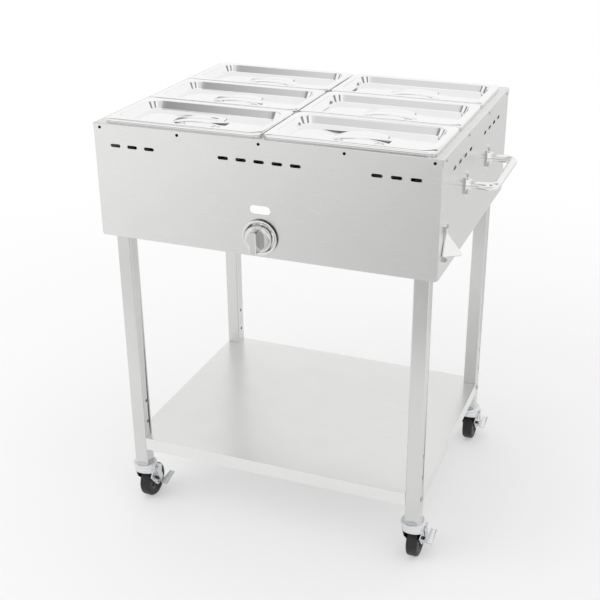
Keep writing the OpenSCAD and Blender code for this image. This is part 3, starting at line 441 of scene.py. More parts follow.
@dataclass(frozen=True)
class Moulded(Surface):
    """A moulded rubber or plastic, with fine pits and a few paler, scuffed patches."""

    colour: str
    scuff: str
    roughness: float
    pit_mm: float
    relief: float
    spread: float = 0.08
    patch_mm: float = 1000 / 60
    deep_mm: float = 0.2

    def material(self) -> Material:
        """Builds the material, with its pits measured on the object in real millimetres."""
        made, tree = start_material(self.name)
        place = add_node(tree, "ShaderNodeTexCoord").outputs["Object"]
        fine = {"Vector": place, "Scale": 1000 / self.pit_mm}
        pits = add_node(tree, "ShaderNodeTexNoise", fine).outputs["Fac"]
        coarse = {"Vector": place, "Scale": 1000 / self.patch_mm, "Detail": 4.0}
        patches = add_node(tree, "ShaderNodeTexNoise", coarse).outputs["Fac"]
        sheen = ranged(tree, pits, (0.0, 1.0), (self.roughness - self.spread, self.roughness + self.spread))
        depth = {"Height": pits, "Strength": self.relief, "Distance": self.deep_mm * MM}
        bumps = add_node(tree, "ShaderNodeBump", depth)
        stops = ((0.45, linear(self.colour)), (0.75, linear(self.scuff)))
        self.shade(tree, patches, stops, sheen, bumps)
        return made


class Finishes:
    """Every finish of the table, made once."""

    def __init__(self) -> None:
        """Builds the materials."""
        # Stainless sheet, satin-brushed along each sheet's length: a soft, slightly streaked pale sheen.
        # The real lines are about 0.1 mm apart. They are drawn 1.2 mm apart, so that they show at all.
        self.sheet_x = Metal("satin_stainless_along_x", "#E7E7E6", 0.27, Grain.X).material()
        self.sheet_y = Metal("satin_stainless_along_y", "#E7E7E6", 0.27, Grain.Y).material()
        self.sheet_z = Metal("satin_stainless_upright", "#DADAD9", 0.26, Grain.Z).material()
        # Stainless sheet of the shelf: the same satin, paler, as painted light on its upturned face.
        self.shelf = Metal("satin_stainless_shelf", "#EDEDEC", 0.27, Grain.X).material()
        # Stainless sheet, pressed and bright: clear reflections that waver where the press drew the metal.
        drawn = Metal("bright_pressed_stainless", "#F5F5F5", 0.06, streak_mm=18, spread=0.02, relief=0.01)
        self.lid = drawn.material()
        self.pan = Metal("pressed_pan_stainless", "#E4E4E2", 0.16, streak_mm=12).material()
        # Stainless tube and plate, polished: near-mirror, with the faintest haze.
        self.polished = Metal("polished_stainless", "#EFEFEE", 0.06, streak_mm=3, relief=0.006).material()
        # Zinc plate over pressed steel: bright, a little bluish, with a fine crystal haze.
        plated = Metal("bright_zinc_plate", "#E2E4E6", 0.22, streak_mm=2, spread=0.08, relief=0.05)
        self.zinc = plated.material()
        # Satin chrome over die-cast zinc: softer than polish, even all over.
        self.knob = Metal("satin_chrome_die_cast", "#E0E0DF", 0.16, streak_mm=0.8).material()
        # Plain steel, cold-headed bolts and nuts: greyer and duller than the sheet.
        self.bolt = Metal("plain_bolt_steel", "#BDBDBC", 0.32, streak_mm=1.5, spread=0.08).material()
        # Steel screws in black oxide: dark, with a dull oily shine. Their black also stands in for the shade
        # in the screw holes of the front and back: painted shade.
        self.black = Metal("black_oxide_steel", "#1B1B1C", 0.38, streak_mm=0.8, spread=0.1).material()
        # Turned brass: warm yellow with fine tool marks round each cut.
        turned = Metal("turned_brass", "#D3B062", 0.26, streak_mm=0.6, spread=0.08, relief=0.06)
        self.brass = turned.material()
        # Steel tube that has been hot: brown-grey, dull and blotched.
        heated = Metal("heat_dulled_steel", "#8C857D", 0.42, streak_mm=4, spread=0.12, cloud=0.25)
        self.burner = heated.material()
        # Rubber tyre, moulded: near-black and matt, with scuffed patches.
        self.rubber = Moulded("moulded_black_rubber", "#101010", "#1E1E1E", 0.5, 0.5, 0.10).material()
        # Polypropylene wheel centre, moulded: dark grey with a low shine.
        self.core = Moulded("moulded_polypropylene", "#2A2A2B", "#3A3A3C", 0.36, 0.8, 0.05).material()
        # Rubber seal, extruded and cut: black, without a shine. Its black ring also stands in for the shade
        # in the gap behind the knob plate: painted shade.
        self.seal = Moulded("extruded_black_seal", "#0E0E0E", "#1C1C1C", 0.62, 0.4, 0.08).material()


# The body


@dataclass
class Screws:
    """Round-headed cross-recess screws through the body's sheets, made as one set for each finish."""

    top_z: float = 867.0
    front_y: float = 278.0
    front_x: tuple[float, ...] = (-330, -165, 0, 165, 330)
    side_x: float = 344.2
    side_y: tuple[float, ...] = (-255, -85, 85, 255)
    knob_z: float = 687.0
    knob_plate_t: float = 1.2
    knob_plate_x: float = 17.0
    head_r: float = 2.8
    head_h: float = 1.6
    dome: float = 0.6
    shank_r: float = 2.0
    shank_l: float = 8.0
    recess: float = 3.2
    recess_share: float = 0.22

    def sizes(self) -> dict[str, float]:
        """Names and values of the tree's inputs, in metres."""
        return {
            "Head Radius": self.head_r * MM,
            "Head Height": self.head_h * MM,
            "Shank Radius": self.shank_r * MM,
            "Shank Length": self.shank_l * MM,
            "Recess": self.recess * MM,
        }

    def head(self, tree: Tree, given: Node) -> Socket:
        """Adds the nodes of a domed head that stands on the origin.

        Args:
            tree: The screws' tree.
            given: Its input node.

        Returns:
            The head.
        """
        radius, height = given.outputs["Head Radius"], given.outputs["Head Height"]
        sizes = {"Vertices": 28, "Side Segments": 1, "Fill Segments": 4, "Radius": radius, "Depth": height}
        disc = add_node(tree, "GeometryNodeMeshCylinder", sizes, fill_type="TRIANGLE_FAN").outputs[0]
        place = add_node(tree, "GeometryNodeInputPosition").outputs[0]
        split = add_node(tree, "ShaderNodeSeparateXYZ", {0: place})
        across = add_node(tree, "ShaderNodeCombineXYZ", {0: split.outputs[0], 1: split.outputs[1]})
        reach = add_node(tree, "ShaderNodeVectorMath", {0: across.outputs[0]}, operation="LENGTH")
        part = maths(tree, "DIVIDE", reach.outputs["Value"], radius)
        share = maths(tree, "MULTIPLY", maths(tree, "MULTIPLY", part, part), -self.dome)
        lower = add_node(tree, "ShaderNodeCombineXYZ", {2: maths(tree, "MULTIPLY", share, height)}).outputs[0]
        above = add_node(tree, "FunctionNodeCompare", {0: split.outputs[2], 1: 0.0}, operation="GREATER_THAN")
        bent = {"Geometry": disc, "Selection": above.outputs[0], "Offset": lower}
        dome = add_node(tree, "GeometryNodeSetPosition", bent).outputs[0]
        return moved(tree, dome, maths(tree, "MULTIPLY", height, 0.5))

    def cross(self, tree: Tree, given: Node) -> list[Socket]:
        """Adds the nodes of the two bars that cut a cross into the head, and gives the bars."""
        long, height = given.outputs["Recess"], given.outputs["Head Height"]
        short = maths(tree, "MULTIPLY", long, self.recess_share)
        bars = []
        for x, y in ((long, short), (short, long)):
            size = add_node(tree, "ShaderNodeCombineXYZ", {0: x, 1: y, 2: height}).outputs[0]
            bar = add_node(tree, "GeometryNodeMeshCube", {"Size": size}).outputs[0]
            bars.append(moved(tree, bar, height))
        return bars

    def tree(self, name: str, material: Material) -> Tree:
        """Builds the tree that puts a screw on each point, turned to face the way the point faces.

        Args:
            name: The tree's name.
            material: The screws' finish.

        Returns:
            The tree.
        """
        tree, given = sized_tree(name, self.sizes())
        tools = {"Mesh 1": self.head(tree, given), "Mesh 2": self.cross(tree, given)}
        cut = add_node(tree, "GeometryNodeMeshBoolean", tools, operation="DIFFERENCE").outputs[0]
        length = given.outputs["Shank Length"]
        sizes = {"Vertices": 20, "Radius": given.outputs["Shank Radius"], "Depth": length}
        shank = add_node(tree, "GeometryNodeMeshCylinder", sizes).outputs[0]
        pin = moved(tree, shank, maths(tree, "MULTIPLY", length, -0.5))
        screw = add_node(tree, "GeometryNodeJoinGeometry", {0: [cut, pin]}).outputs[0]
        kind, label = "FLOAT_VECTOR", {"Name": "facing"}
        facing = add_node(tree, "GeometryNodeInputNamedAttribute", label, data_type=kind).outputs[0]
        turned = add_node(tree, "FunctionNodeAlignRotationToVector", {"Vector": facing}, axis="Z")
        seats = {"Points": given.outputs["Geometry"], "Instance": screw, "Rotation": turned.outputs[0]}
        placed = add_node(tree, "GeometryNodeInstanceOnPoints", seats).outputs[0]
        # Each screw stops at its own angle, up to a quarter turn.
        angles = {"Min": 0.0, "Max": 1.57, "Seed": 7}
        chance = add_node(tree, "FunctionNodeRandomValue", angles, data_type="FLOAT").outputs["Value"]
        spin = add_node(tree, "ShaderNodeCombineXYZ", {2: chance}).outputs[0]
        spun = add_node(tree, "GeometryNodeRotateInstances", {"Instances": placed, "Rotation": spin})
        end_tree(tree, spun.outputs[0], material)
        return tree

    def build(self, name: str, seats: list[tuple[Vector, Vector]], material: Material) -> None:
        """Builds one set of screws.

        Args:
            name: The set's name.
            seats: Each screw's seat and the way it faces.
            material: The screws' finish.
        """
        mesh = bpy.data.meshes.new(name)
        mesh.from_pydata([seat * MM for seat, _ in seats], [], [])
        facing = mesh.attributes.new("facing", "FLOAT_VECTOR", "POINT")
        facing.data.foreach_set("vector", [c for _, way in seats for c in way])
        piece = bpy.data.objects.new(name, mesh)
        bpy.context.scene.collection.objects.link(piece)
        modify(piece, "NODES", node_group=self.tree(f"{name}_tree", material), sizes=self.sizes())
        settle(piece, "panel_screws")

    def dress(self, finishes: Finishes) -> None:
        """Builds the black screws of the front and back, and the plain ones of the sides and bezel."""
        ends, z = (-1, 1), self.top_z
        black = [(Vector((x, s * self.front_y, z)), Vector((0, s, 0))) for s in ends for x in self.front_x]
        plain = [(Vector((s * self.side_x, y, z)), Vector((s, 0, 0))) for s in ends for y in self.side_y]
        face_y = -self.front_y - self.knob_plate_t
        plain += [(Vector((s * self.knob_plate_x, face_y, self.knob_z)), Vector((0, -1, 0))) for s in ends]
        # The black heads are partly painted shade: they stand in for the dark screw holes.
        self.build("black_panel_screws", black, finishes.black)
        self.build("plain_panel_screws", plain, finishes.bolt)


@dataclass
class Cabinet:
    """The water tank, its four panels and the bars that carry the pans."""

    edge: float = 0.3

    def dress(self, finishes: Finishes) -> None:
        """Covers the sheets, each brushed along its length."""
        skin("tank", finishes.sheet_x, self.edge)
        skin("front_panel", finishes.sheet_x, self.edge)
        skin("back_panel", finishes.sheet_x, self.edge)
        skin("left_panel", finishes.sheet_y, self.edge)
        skin("right_panel", finishes.sheet_y, self.edge)
        skin("pan_bars", finishes.sheet_x, self.edge)
        Screws().dress(finishes)


@dataclass
class Pressing:
    """What pans and lids share: a place in the top, and a flat rim with a turned-down edge."""

    place: str
    rim_hx: float = 148.5
    rim_hy: float = 74.0
    rim_r: float = 14.0
    rim_bend: float = 1.4
    sheet: float = 0.9

    def rim(self, rim_z: float, skirt_z: float) -> list[Loop]:
        """Loops of the rim, from the foot of its skirt up to its flat top.

        Args:
            rim_z: Height of its flat top.
            skirt_z: Height of its skirt's foot.

        Returns:
            The loops.
        """
        r, fold = self.rim_r, self.rim_bend
        profile = [(r, skirt_z)] + bend(r - fold, rim_z - fold, fold, 0, 90, 4)
        return [rounded_loop(self.rim_hx, self.rim_hy, a, z) for a, z in profile]

    def press(self, name: str, loops: list[Loop], material: Material, node: str) -> None:
        """Lofts the upper side through its loops, and gives it the sheet's thickness.

        Args:
            name: The piece's name.
            loops: The loops from the skirt to the middle of the floor.
            material: The finish.
            node: The CAD node that the piece stands for.
        """
        bm = bmesh.new()
        loft(bm, loops, cap=True)
        bm.transform(Matrix.Translation((*PLACES[self.place], 0)))
        piece = finish_piece(name, bm, material, sheet=True)
        modify(piece, "SOLIDIFY", thickness=self.sheet * MM, offset=-1)
        settle(piece, node)


@dataclass
class Pan(Pressing):
    """One pressed pan: its rim and a rounded tub."""

    rim_z: float = 878.2
    skirt_z: float = 875.1
    floor_z: float = 775.9
    tub_hx: float = 126.5
    tub_hy: float = 52.0
    mouth_r: float = 28.1
    mouth_bend: float = 3.0
    foot_r: float = 9.1
    foot_bend: float = 11.0

    def dress(self, finishes: Finishes) -> None:
        """Builds the pan."""
        mouth, foot = self.mouth_bend, self.foot_bend
        wall = bend(self.mouth_r, self.rim_z - mouth, mouth, 90, 180)
        wall += bend(self.foot_r, self.floor_z + foot, foot, 0, -90, 7)
        tub = [rounded_loop(self.tub_hx, self.tub_hy, r, z) for r, z in wall]
        loops = self.rim(self.rim_z, self.skirt_z) + tub
        self.press(f"pan_tub_{self.place}", loops, finishes.pan, f"pan_{self.place}")


@dataclass
class Lid(Pressing):
    """One recessed lid: rim, sunk tray, round dish and the arched grip that bridges the dish."""

    rim_z: float = 881.8
    skirt_z: float = 878.3
    tray_z: float = 866.8
    tray_hx: float = 118.5
    tray_hy: float = 44.0
    brow_r: float = 30.0
    brow_bend: float = 2.5
    foot_r: float = 17.5
    foot_bend: float = 4.0
    # Degrees between the straight wall and the level. The wall is tangent to the bends at its ends.
    steep: float = 60.0
    dish_r: float = 52.0
    dish_h: float = 14.0
    grip_reach: float = 56.0
    grip_rise: float = 4.0
    grip_half: float = 12.0
    grip_flare: float = 8.0
    grip_sheet: float = 1.2

    def bowl(self) -> Profile:
        """Radii and heights of the dish, from its rounded lip down to near its middle."""
        r, z = self.dish_r, self.tray_z
        ball = (r**2 + self.dish_h**2) / (2 * self.dish_h)
        middle = z - self.dish_h + ball
        lip = [(r + 1.6, z), (r + 0.6, z - 0.12), (r - 0.5, z - 0.5)]
        return lip + [(a, middle - math.sqrt(ball**2 - a**2)) for a in (50.6, 47, 42, 36, 29, 22, 15, 8, 3)]

    def tray(self, finishes: Finishes) -> None:
        """Builds the lid's sheet, from its skirt over rim and tray down into the dish."""
        brow, foot = self.brow_bend, self.foot_bend
        wall = bend(self.brow_r, self.rim_z - brow, brow, 90, 90 + self.steep)
        wall += bend(self.foot_r, self.tray_z + foot, foot, self.steep - 90, -90, 6)
        loops = self.rim(self.rim_z, self.skirt_z)
        loops += [rounded_loop(self.tray_hx, self.tray_hy, r, z) for r, z in wall]
        like = loops[-1]
        loops += [round_loop(r, z, like) for r, z in self.bowl()]
        self.press(f"lid_tray_{self.place}", loops, finishes.lid, f"lid_{self.place}")

    def grip(self, finishes: Finishes) -> None:
        """Builds the grip as an arched strip, narrow at its waist, with edges rolled down."""
        arch = (self.grip_reach**2 + self.grip_rise**2) / (2 * self.grip_rise)
        waist = (self.grip_reach**2 + self.grip_flare**2) / (2 * self.grip_flare)
        # Share of the half width and drop in millimetres, from the middle out over the rolled edge.
        half_across = ((0, 0), (0.7, 0), (0.88, -0.1), (0.96, -0.4), (1.0, -0.9))
        across = [(-share, drop) for share, drop in half_across[:0:-1]] + list(half_across)
        steps = 36
        bm = bmesh.new()
        rows = []
        for k in range(steps + 1):
            x = self.grip_reach * (2 * k / steps - 1)
            half = self.grip_half + waist - math.sqrt(waist**2 - x**2)
            z = self.tray_z + self.grip_rise - arch + math.sqrt(arch**2 - x**2)
            rows.append([bm.verts.new((x, half * share, z + drop)) for share, drop in across])
        for a, b in zip(rows, rows[1:]):
            for i in range(len(across) - 1):
                bm.faces.new((a[i], b[i], b[i + 1], a[i + 1]))
        bm.transform(Matrix.Translation((*PLACES[self.place], 0)))
        piece = finish_piece(f"lid_grip_{self.place}", bm, finishes.lid, smooth=60, sheet=True)
        modify(piece, "SOLIDIFY", smooth=50, thickness=self.grip_sheet * MM, offset=-1)
        settle(piece, f"lid_{self.place}")

    def dress(self, finishes: Finishes) -> None:
        """Builds the lid."""
        self.tray(finishes)
        self.grip(finishes)


# The stand


@dataclass
class Stand:
    """Four square legs in their sockets, the undershelf and the bolts."""

    edge: float = 0.3

    def dress(self, finishes: Finishes) -> None:
        """Covers the stand's pieces."""
        for corner in CORNERS:
            skin(f"leg_{corner}", finishes.sheet_z, self.edge)
        skin("leg_sockets", finishes.sheet_z, self.edge)
        # The shelf's paler satin is painted light on its upturned face.
        skin("shelf", finishes.shelf, self.edge)
        skin("frame_bolts", finishes.bolt, self.edge)


@dataclass
class Caster:
    """One braked swivel caster: fixed top, fork, axle, pedal and a rubber-tyred wheel."""

    corner: str
    leg_x: float = 309.5
    leg_y: float = 244.5
    trail: float = 25.0
    wheel_r: float = 37.5
    half: float = 12.0
    core_r: float = 26.5
    hub_r: float = 9.0
    hub_half: float = 13.2
    bore_r: float = 4.05
    recess: float = 3.0
    pocket_r: float = 4.0
    pocket_ring: float = 16.0
    pockets: int = 6

    def centre(self) -> Matrix:
        """Place of the wheel: its own Z axis lies along the axle."""
        sx, sy = CORNERS[self.corner]
        spot = Vector((sx * self.leg_x, sy * self.leg_y + self.trail, self.wheel_r))
        return Matrix.Translation(spot) @ Matrix.Rotation(math.pi / 2, 4, "Y")

    def tyre(self, finishes: Finishes) -> None:
        """Turns the tyre, with round shoulders and a shallow line where it meets the core."""
        r, h = self.wheel_r, self.half
        side = [(self.core_r, h - 0.5), (self.core_r + 0.5, h)] + bend(r - 5, h - 5, 5, 90, 0, 8)
        profile = side + [(a, -b) for a, b in reversed(side)]
        bm = lathe(profile)
        bm.transform(self.centre())
        settle(finish_piece(f"tyre_{self.corner}", bm, finishes.rubber), f"wheel_{self.corner}")

    def pocket_tree(self, sizes: dict[str, float], material: Material) -> Tree:
        """Builds the tree that sinks a ring of round pockets into both faces of the core.

        Args:
            sizes: Names and values of the tree's inputs: a count, and metres.
            material: The core's finish.

        Returns:
            The tree.
        """
        tree, given = sized_tree(f"wheel_pockets_{self.corner}", sizes)
        around = {"Vertices": given.outputs["Pockets"], "Radius": given.outputs["Ring Radius"]}
        ring = add_node(tree, "GeometryNodeMeshCircle", around).outputs[0]
        # A plug is centred on the face, so it is twice as long as the pocket is deep.
        deep = maths(tree, "MULTIPLY", given.outputs["Depth"], 2.0)
        round_plug = {"Vertices": 24, "Radius": given.outputs["Pocket Radius"], "Depth": deep}
        plug = add_node(tree, "GeometryNodeMeshCylinder", round_plug).outputs[0]
        plugs = add_node(tree, "GeometryNodeInstanceOnPoints", {"Points": ring, "Instance": plug}).outputs[0]
        face = given.outputs["Face Height"]
        sides = [moved(tree, plugs, maths(tree, "MULTIPLY", face, way)) for way in (1.0, -1.0)]
        tools = add_node(tree, "GeometryNodeJoinGeometry", {0: sides}).outputs[0]
        real = add_node(tree, "GeometryNodeRealizeInstances", {"Geometry": tools}).outputs[0]
        meshes = {"Mesh 1": given.outputs["Geometry"], "Mesh 2": real}
        cut = add_node(tree, "GeometryNodeMeshBoolean", meshes, operation="DIFFERENCE")
        end_tree(tree, cut.outputs[0], material)
        return tree

    def core(self, finishes: Finishes) -> None:
        """Turns the core with its hub and flange, and sinks the pockets."""
        face = self.half - self.recess
        side = [
            (self.core_r, self.half - 0.7),
            (self.core_r - 0.5, self.half),
            (self.core_r - 1.3, self.half),
            (self.core_r - 3.2, face + 0.3),
            (self.core_r - 3.8, face),
            (self.hub_r + 0.8, face),
            (self.hub_r, face + 0.8),
            (self.hub_r, self.hub_half - 0.6),
            (self.hub_r - 0.6, self.hub_half),
            (self.bore_r, self.hub_half),
        ]
        bm = lathe(side + [(a, -b) for a, b in reversed(side)], 72)
        piece = finish_piece(f"wheel_core_{self.corner}", bm, finishes.core)
        sizes = {
            "Pockets": self.pockets,
            "Ring Radius": self.pocket_ring * MM,
            "Pocket Radius": self.pocket_r * MM,
            "Depth": self.recess * MM,
            "Face Height": face * MM,
        }
        modify(piece, "NODES", node_group=self.pocket_tree(sizes, finishes.core), sizes=sizes)
        place = self.centre()
        place.translation *= MM
        piece.data.transform(place)
        settle(piece, f"wheel_{self.corner}")

    def dress(self, finishes: Finishes) -> None:
        """Builds the wheel and covers the pressed and turned steel pieces."""
        self.tyre(finishes)
        self.core(finishes)
        skin(f"caster_top_{self.corner}", finishes.zinc, 0.3)
        skin(f"fork_{self.corner}", finishes.zinc, 0.3)
        skin(f"axle_{self.corner}", finishes.zinc, 0.2)
        skin(f"brake_{self.corner}", finishes.zinc, 0.3)


# Fittings


@dataclass
class SideHandle:
    """The bent tube handle, its two flanges with screws, and the bottle opener below."""

    root_x: float = 346.0
    arm: float = 36.0
    half_span: float = 92.0
    bend_r: float = 18.0
    tube_r: float = 8.0
    z: float = 774.0
    around: int = 32
    bend_steps: int = 12

    def path(self) -> list[tuple[Vector, Vector]]:
        """Points on the tube's centre line, each with the direction that the tube runs there."""
        x, y, r = self.root_x + self.arm, self.half_span - self.bend_r, self.bend_r
        half = [(Vector((self.root_x, self.half_span, self.z)), Vector((1, 0, 0)))]
        for k in range(self.bend_steps + 1):
            a = math.radians(90 - 90 * k / self.bend_steps)
            spot = Vector((x + r * math.cos(a), y + r * math.sin(a), self.z))
            half.append((spot, Vector((math.sin(a), -math.cos(a), 0))))
        flip = Vector((1, -1, 1))
        return half + [(p * flip, Vector((-d.x, d.y, 0))) for p, d in reversed(half)]

    def tube(self, finishes: Finishes) -> None:
        """Sweeps the round tube along its path."""
        up, r = Vector((0, 0, 1)), self.tube_r
        turns = [2 * math.pi * k / self.around for k in range(self.around)]
        loops = []
        for spot, way in self.path():
            side = way.cross(up)
            loops.append([spot + side * r * math.cos(a) + up * r * math.sin(a) for a in turns])
        bm = bmesh.new()
        loft(bm, loops, cap=True)
        first = [v for v in bm.verts if abs(v.co.x - self.root_x) < 1e-4 and v.co.y > 0]
        bmesh.ops.contextual_create(bm, geom=first)
        settle(finish_piece("handle_tube", bm, finishes.polished, smooth=40), "handle")

    def dress(self, finishes: Finishes) -> None:
        """Builds the handle and covers the other fittings of the right side."""
        self.tube(finishes)
        skin("handle_flanges", finishes.polished, 0.3)
        skin("bottle_opener", finishes.polished, 0.4)
        skin("side_screws", finishes.bolt, 0.2)


@dataclass
class GasControl:
    """The knob with its round plate and seal, and the valve and burner behind the panel."""

    front_y: float = -278.0
    z: float = 687.0
    plate_r: float = 35.0
    plate_rise: float = 4.6
    plate_t: float = 1.2
    hole_r: float = 7.0

    def plate(self, finishes: Finishes) -> None:
        """Turns the dished plate behind the knob, with a rolled edge."""
        r, h, t = self.plate_r, self.plate_rise, self.plate_t
        under = [(self.hole_r, 0), (r - 9.5, 0), (r - 4.3, h - 0.3), (r - 3.4, h), (r - 0.6, h)]
        over = [(r - 3.9, h + t), (r - 4.8, h + t - 0.4), (r - 9.6, t + 0.3), (r - 10.4, t), (self.hole_r, t)]
        bm = lathe(under + bend(r - 0.6, h + t / 2, t / 2, -90, 90, 6) + over)
        bm.transform(Matrix.Translation((0, self.front_y, self.z)) @ Matrix.Rotation(math.pi / 2, 4, "X"))
        settle(finish_piece("knob_plate", bm, finishes.polished, smooth=28), "bezel")

    def dress(self, finishes: Finishes) -> None:
        """Builds the plate and covers the knob, valve and burner."""
        self.plate(finishes)
        # The seal's black ring is partly painted shade of the gap behind the plate.
        skin("bezel_seal", finishes.seal, 0.2)
        skin("knob", finishes.knob, 0.7)
        skin("valve_stem", finishes.zinc, 0.3)
        for node in ("valve_body", "gas_jet", "gas_inlet"):
            skin(node, finishes.brass, 0.3)
        skin("valve_washer", finishes.bolt, 0.2)
        skin("burner", finishes.burner, 0.2)
        skin("burner_brackets", finishes.sheet_z, 0.2)


# Studio


@dataclass
class Studio:
    """The pale floor, the plain soft light, the glowing cards of painted reflection and the camera."""

    floor_r: float = 14.0
    clear_from: float = 0.5
    clear_at: float = 2.4
    floor_glow: float = 0.34
    floor_colour: str = "#F8F8F8"
    sky: float = 0.92
    spot: tuple[float, float, float] = (0.76214, -1.97829, 1.41467)
    yaw: float = 0.3605
    pitch: float = -0.4240
    roll: float = -0.0006
    lens: float = 63.7534
    shift: tuple[float, float] = (-0.03485, -0.01429)

    def seen(self, tree: Tree) -> Socket:
        """Gives 1 for camera, glossy and transmission rays, and 0 for the rays that light things."""
        rays = add_node(tree, "ShaderNodeLightPath").outputs
        either = maths(tree, "MAXIMUM", rays["Is Camera Ray"], rays["Is Glossy Ray"])
        return maths(tree, "MAXIMUM", either, rays["Is Transmission Ray"])

    def world(self) -> None:
        """Makes an even white sky that lights the object plainly and shows white behind it."""
        world = bpy.data.worlds.new("white_studio")
        world.use_nodes = True
        tree = world.node_tree
        back = tree.nodes["Background"]
        back.inputs["Color"].default_value = (1, 1, 1, 1)
        level = ranged(tree, self.seen(tree), (0.0, 1.0), (self.sky, 1.0))
        tree.links.new(level, back.inputs["Strength"])
        bpy.context.scene.world = world

    def floor(self) -> None:
        """Lays the floor, which keeps the object's shadow and clears to white with distance."""
        bm = bmesh.new()
        bmesh.ops.create_circle(bm, cap_ends=True, segments=96, radius=self.floor_r / MM)
        made, tree = start_material("white_studio_floor")
        paint = tree.nodes["Principled BSDF"]
        paint.inputs["Base Color"].default_value = linear(self.floor_colour)
        paint.inputs["Roughness"].default_value = 0.9
        paint.inputs["Specular IOR Level"].default_value = 0.0
        place = add_node(tree, "ShaderNodeTexCoord").outputs["Object"]
        away = add_node(tree, "ShaderNodeVectorMath", {0: place}, operation="LENGTH").outputs["Value"]
        reach = (self.clear_from, self.clear_at)
        far = ranged(tree, away, reach, (0.0, 1.0), interpolation_type="SMOOTHSTEP")
        share = ranged(tree, far, (0.0, 1.0), (self.floor_glow, 1.0))
        part = maths(tree, "MULTIPLY", share, self.seen(tree))
        white = add_node(tree, "ShaderNodeEmission", {"Color": (1, 1, 1, 1), "Strength": 1.0}).outputs[0]
        mixed = add_node(tree, "ShaderNodeMixShader", {0: part, 1: paint.outputs[0], 2: white}).outputs[0]
        tree.links.new(mixed, tree.nodes["Material Output"].inputs["Surface"])
        finish_piece("studio_floor", bm, made, sheet=True)

    def card(self, name: str, corners: list[tuple[float, float, float]], start: float, end: float) -> None:
        """Hangs a glowing grey card, a painted reflection: it shows only in reflections and takes no light
        from the table.

        Args:
            name: The card's name.
            corners: Its four corners in metres; the shade runs from the first edge to the opposite one.
            start: Grey level at the edge of the first and last corner, where 1 is white.
            end: Grey level at the edge of the second and third corner.
        """
        bm = bmesh.new()
        face = bm.faces.new([bm.verts.new(Vector(corner) / MM) for corner in corners])
        uv = bm.loops.layers.uv.new("card")
        for loop, across in zip(face.loops, (0.0, 1.0, 1.0, 0.0)):
            loop[uv].uv = (across, 0.0)
        # The card glows with a grey level: a painted reflection for the metal.
        made, tree = start_material(f"{name}_painted_reflection")
        spot = add_node(tree, "ShaderNodeUVMap").outputs[0]
        across = add_node(tree, "ShaderNodeSeparateXYZ", {0: spot}).outputs[0]
        level = ranged(tree, across, (0.0, 1.0), (start, end))
        glow = add_node(tree, "ShaderNodeEmission", {"Color": (1, 1, 1, 1), "Strength": level}).outputs[0]
        tree.links.new(glow, tree.nodes["Material Output"].inputs["Surface"])
        card = finish_piece(name, bm, made)
        card.visible_camera = False
        card.visible_diffuse = False
        card.visible_transmission = False
        card.visible_shadow = False

    def flat(
        self, name: str, x: tuple[float, float], y: tuple[float, float], z: float, shades: tuple[float, float]
    ) -> None:
        """Hangs one level card, whose shade runs along X.

        Args:
            name: The card's name.
            x: Where it starts and ends along X, in metres.
            y: The same along Y.
            z: Its height in metres.
            shades: Its grey level at its start and its end along X, where 1 is white.
        """
        (ax, bx), (ay, by) = x, y
        self.card(name, [(ax, ay, z), (bx, ay, z), (bx, by, z), (ax, by, z)], *shades)

    def cards(self) -> None:
        """Hangs the glowing cards that paint darker bands into the bright metal's reflections."""
        low, high = 0.004, 2.7
        # Just over the floor in front of the table: what the front panel reflects.
        self.flat("floor_card", (-1.3, 0.4), (-1.2, -4.4), low, (0.9, 0.5))
        self.flat("near_card", (0.4, 3.0), (-1.2, -4.4), low, (0.5, 0.5))
        # Overhead in front, on the left: what the lids' back walls reflect.
        self.flat("high_card", (-1.7, -0.9), (-2.8, -1.0), high, (0.24, 0.7))
        self.flat("pale_card", (-0.9, 0.3), (-2.8, -1.0), high, (0.7, 0.84))
        # Just over the floor behind, on the right: what the right side reflects.
        self.flat("side_card", (0.2, 3.4), (0.8, 4.4), low, (0.76, 0.76))
        # Upright round the table: painted reflections of the dark lines in the lids' corners and in the
        # dishes.
        for i, (turn, width) in enumerate(((-95, 22), (-40, 20), (15, 22), (160, 20), (212, 20))):
            self.upright(f"strip_card_{i}", turn, width, 1.9, (1.5, 4.0), 0.3)
        for i, turn in enumerate((99, 117, 135, 153)):
            self.upright(f"band_card_{i}", turn, 18, 4.0, (2.36, 2.56), 0.08)

    def upright(
        self, name: str, turn: float, width: float, reach: float, height: tuple[float, float], level: float
    ) -> None:
        """Stands one even grey card round the table.

        Args:
            name: The card's name.
            turn: Direction of its middle from the table, in degrees from the X axis.
            width: Its width in degrees.
            reach: Its distance in metres.
            height: Its lower and upper edge in metres.
            level: Its grey level, where 1 is white.
        """
        turns = [math.radians(turn - width / 2), math.radians(turn + width / 2)]
        (ax, ay), (bx, by) = [(reach * math.cos(t), reach * math.sin(t)) for t in turns]
        low, high = height
        self.card(name, [(ax, ay, low), (bx, by, low), (bx, by, high), (ax, ay, high)], level, level)

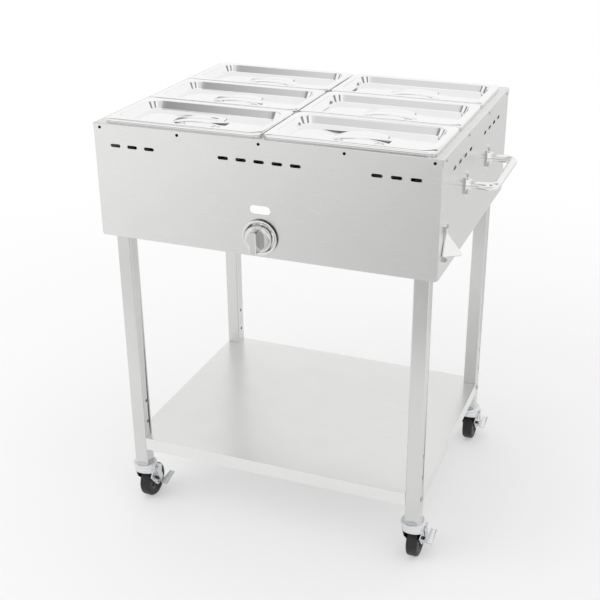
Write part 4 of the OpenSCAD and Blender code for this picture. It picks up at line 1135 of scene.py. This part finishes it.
    def lamp(self, name: str, spot: tuple[float, float, float], size: float, power: float) -> None:
        """Adds a large soft lamp that faces the middle of the table.

        Args:
            name: The lamp's name.
            spot: Its place in metres.
            size: Side of its square face in metres.
            power: Its power in watts.
        """
        light = bpy.data.lights.new(name, "AREA")
        light.size = size
        light.energy = power
        lamp = bpy.data.objects.new(name, light)
        lamp.location = spot
        middle = Vector((0, 0, 0.6))
        lamp.rotation_euler = (middle - Vector(spot)).to_track_quat("-Z", "Y").to_euler()
        lamp.visible_glossy = False
        bpy.context.scene.collection.objects.link(lamp)

    def camera(self) -> None:
        """Places the camera where the photograph was taken from."""
        run, rise = math.cos(self.pitch), math.sin(self.pitch)
        ahead = Vector((-math.sin(self.yaw) * run, math.cos(self.yaw) * run, rise))
        right = Vector((math.cos(self.yaw), math.sin(self.yaw), 0))
        up = right.cross(ahead)
        turn = Matrix((right, up, -ahead)).transposed() @ Matrix.Rotation(self.roll, 3, "Z")
        data = bpy.data.cameras.new("camera")
        data.lens = self.lens
        data.sensor_width = 36.0
        data.sensor_fit = "HORIZONTAL"
        data.shift_x, data.shift_y = self.shift
        camera = bpy.data.objects.new("camera", data)
        camera.matrix_world = Matrix.Translation(self.spot) @ turn.to_4x4()
        bpy.context.scene.collection.objects.link(camera)
        bpy.context.scene.camera = camera

    def build(self) -> None:
        """Sets the studio up."""
        self.camera()
        self.world()
        self.floor()
        self.cards()
        self.lamp("left_softbox", (-2.6, -2.4, 2.6), 2.4, 26.0)
        bpy.context.scene.view_settings.view_transform = "Standard"


def main() -> None:
    """Builds the studio and dresses every piece of the table."""
    logging.basicConfig(level=logging.INFO, format="%(name)s: %(message)s")
    Studio().build()
    finishes = Finishes()
    Cabinet().dress(finishes)
    for place in PLACES:
        Pan(place).dress(finishes)
        Lid(place).dress(finishes)
    Stand().dress(finishes)
    for corner in CORNERS:
        Caster(corner).dress(finishes)
    SideHandle().dress(finishes)
    GasControl().dress(finishes)


if __name__ == "__main__":
    main()
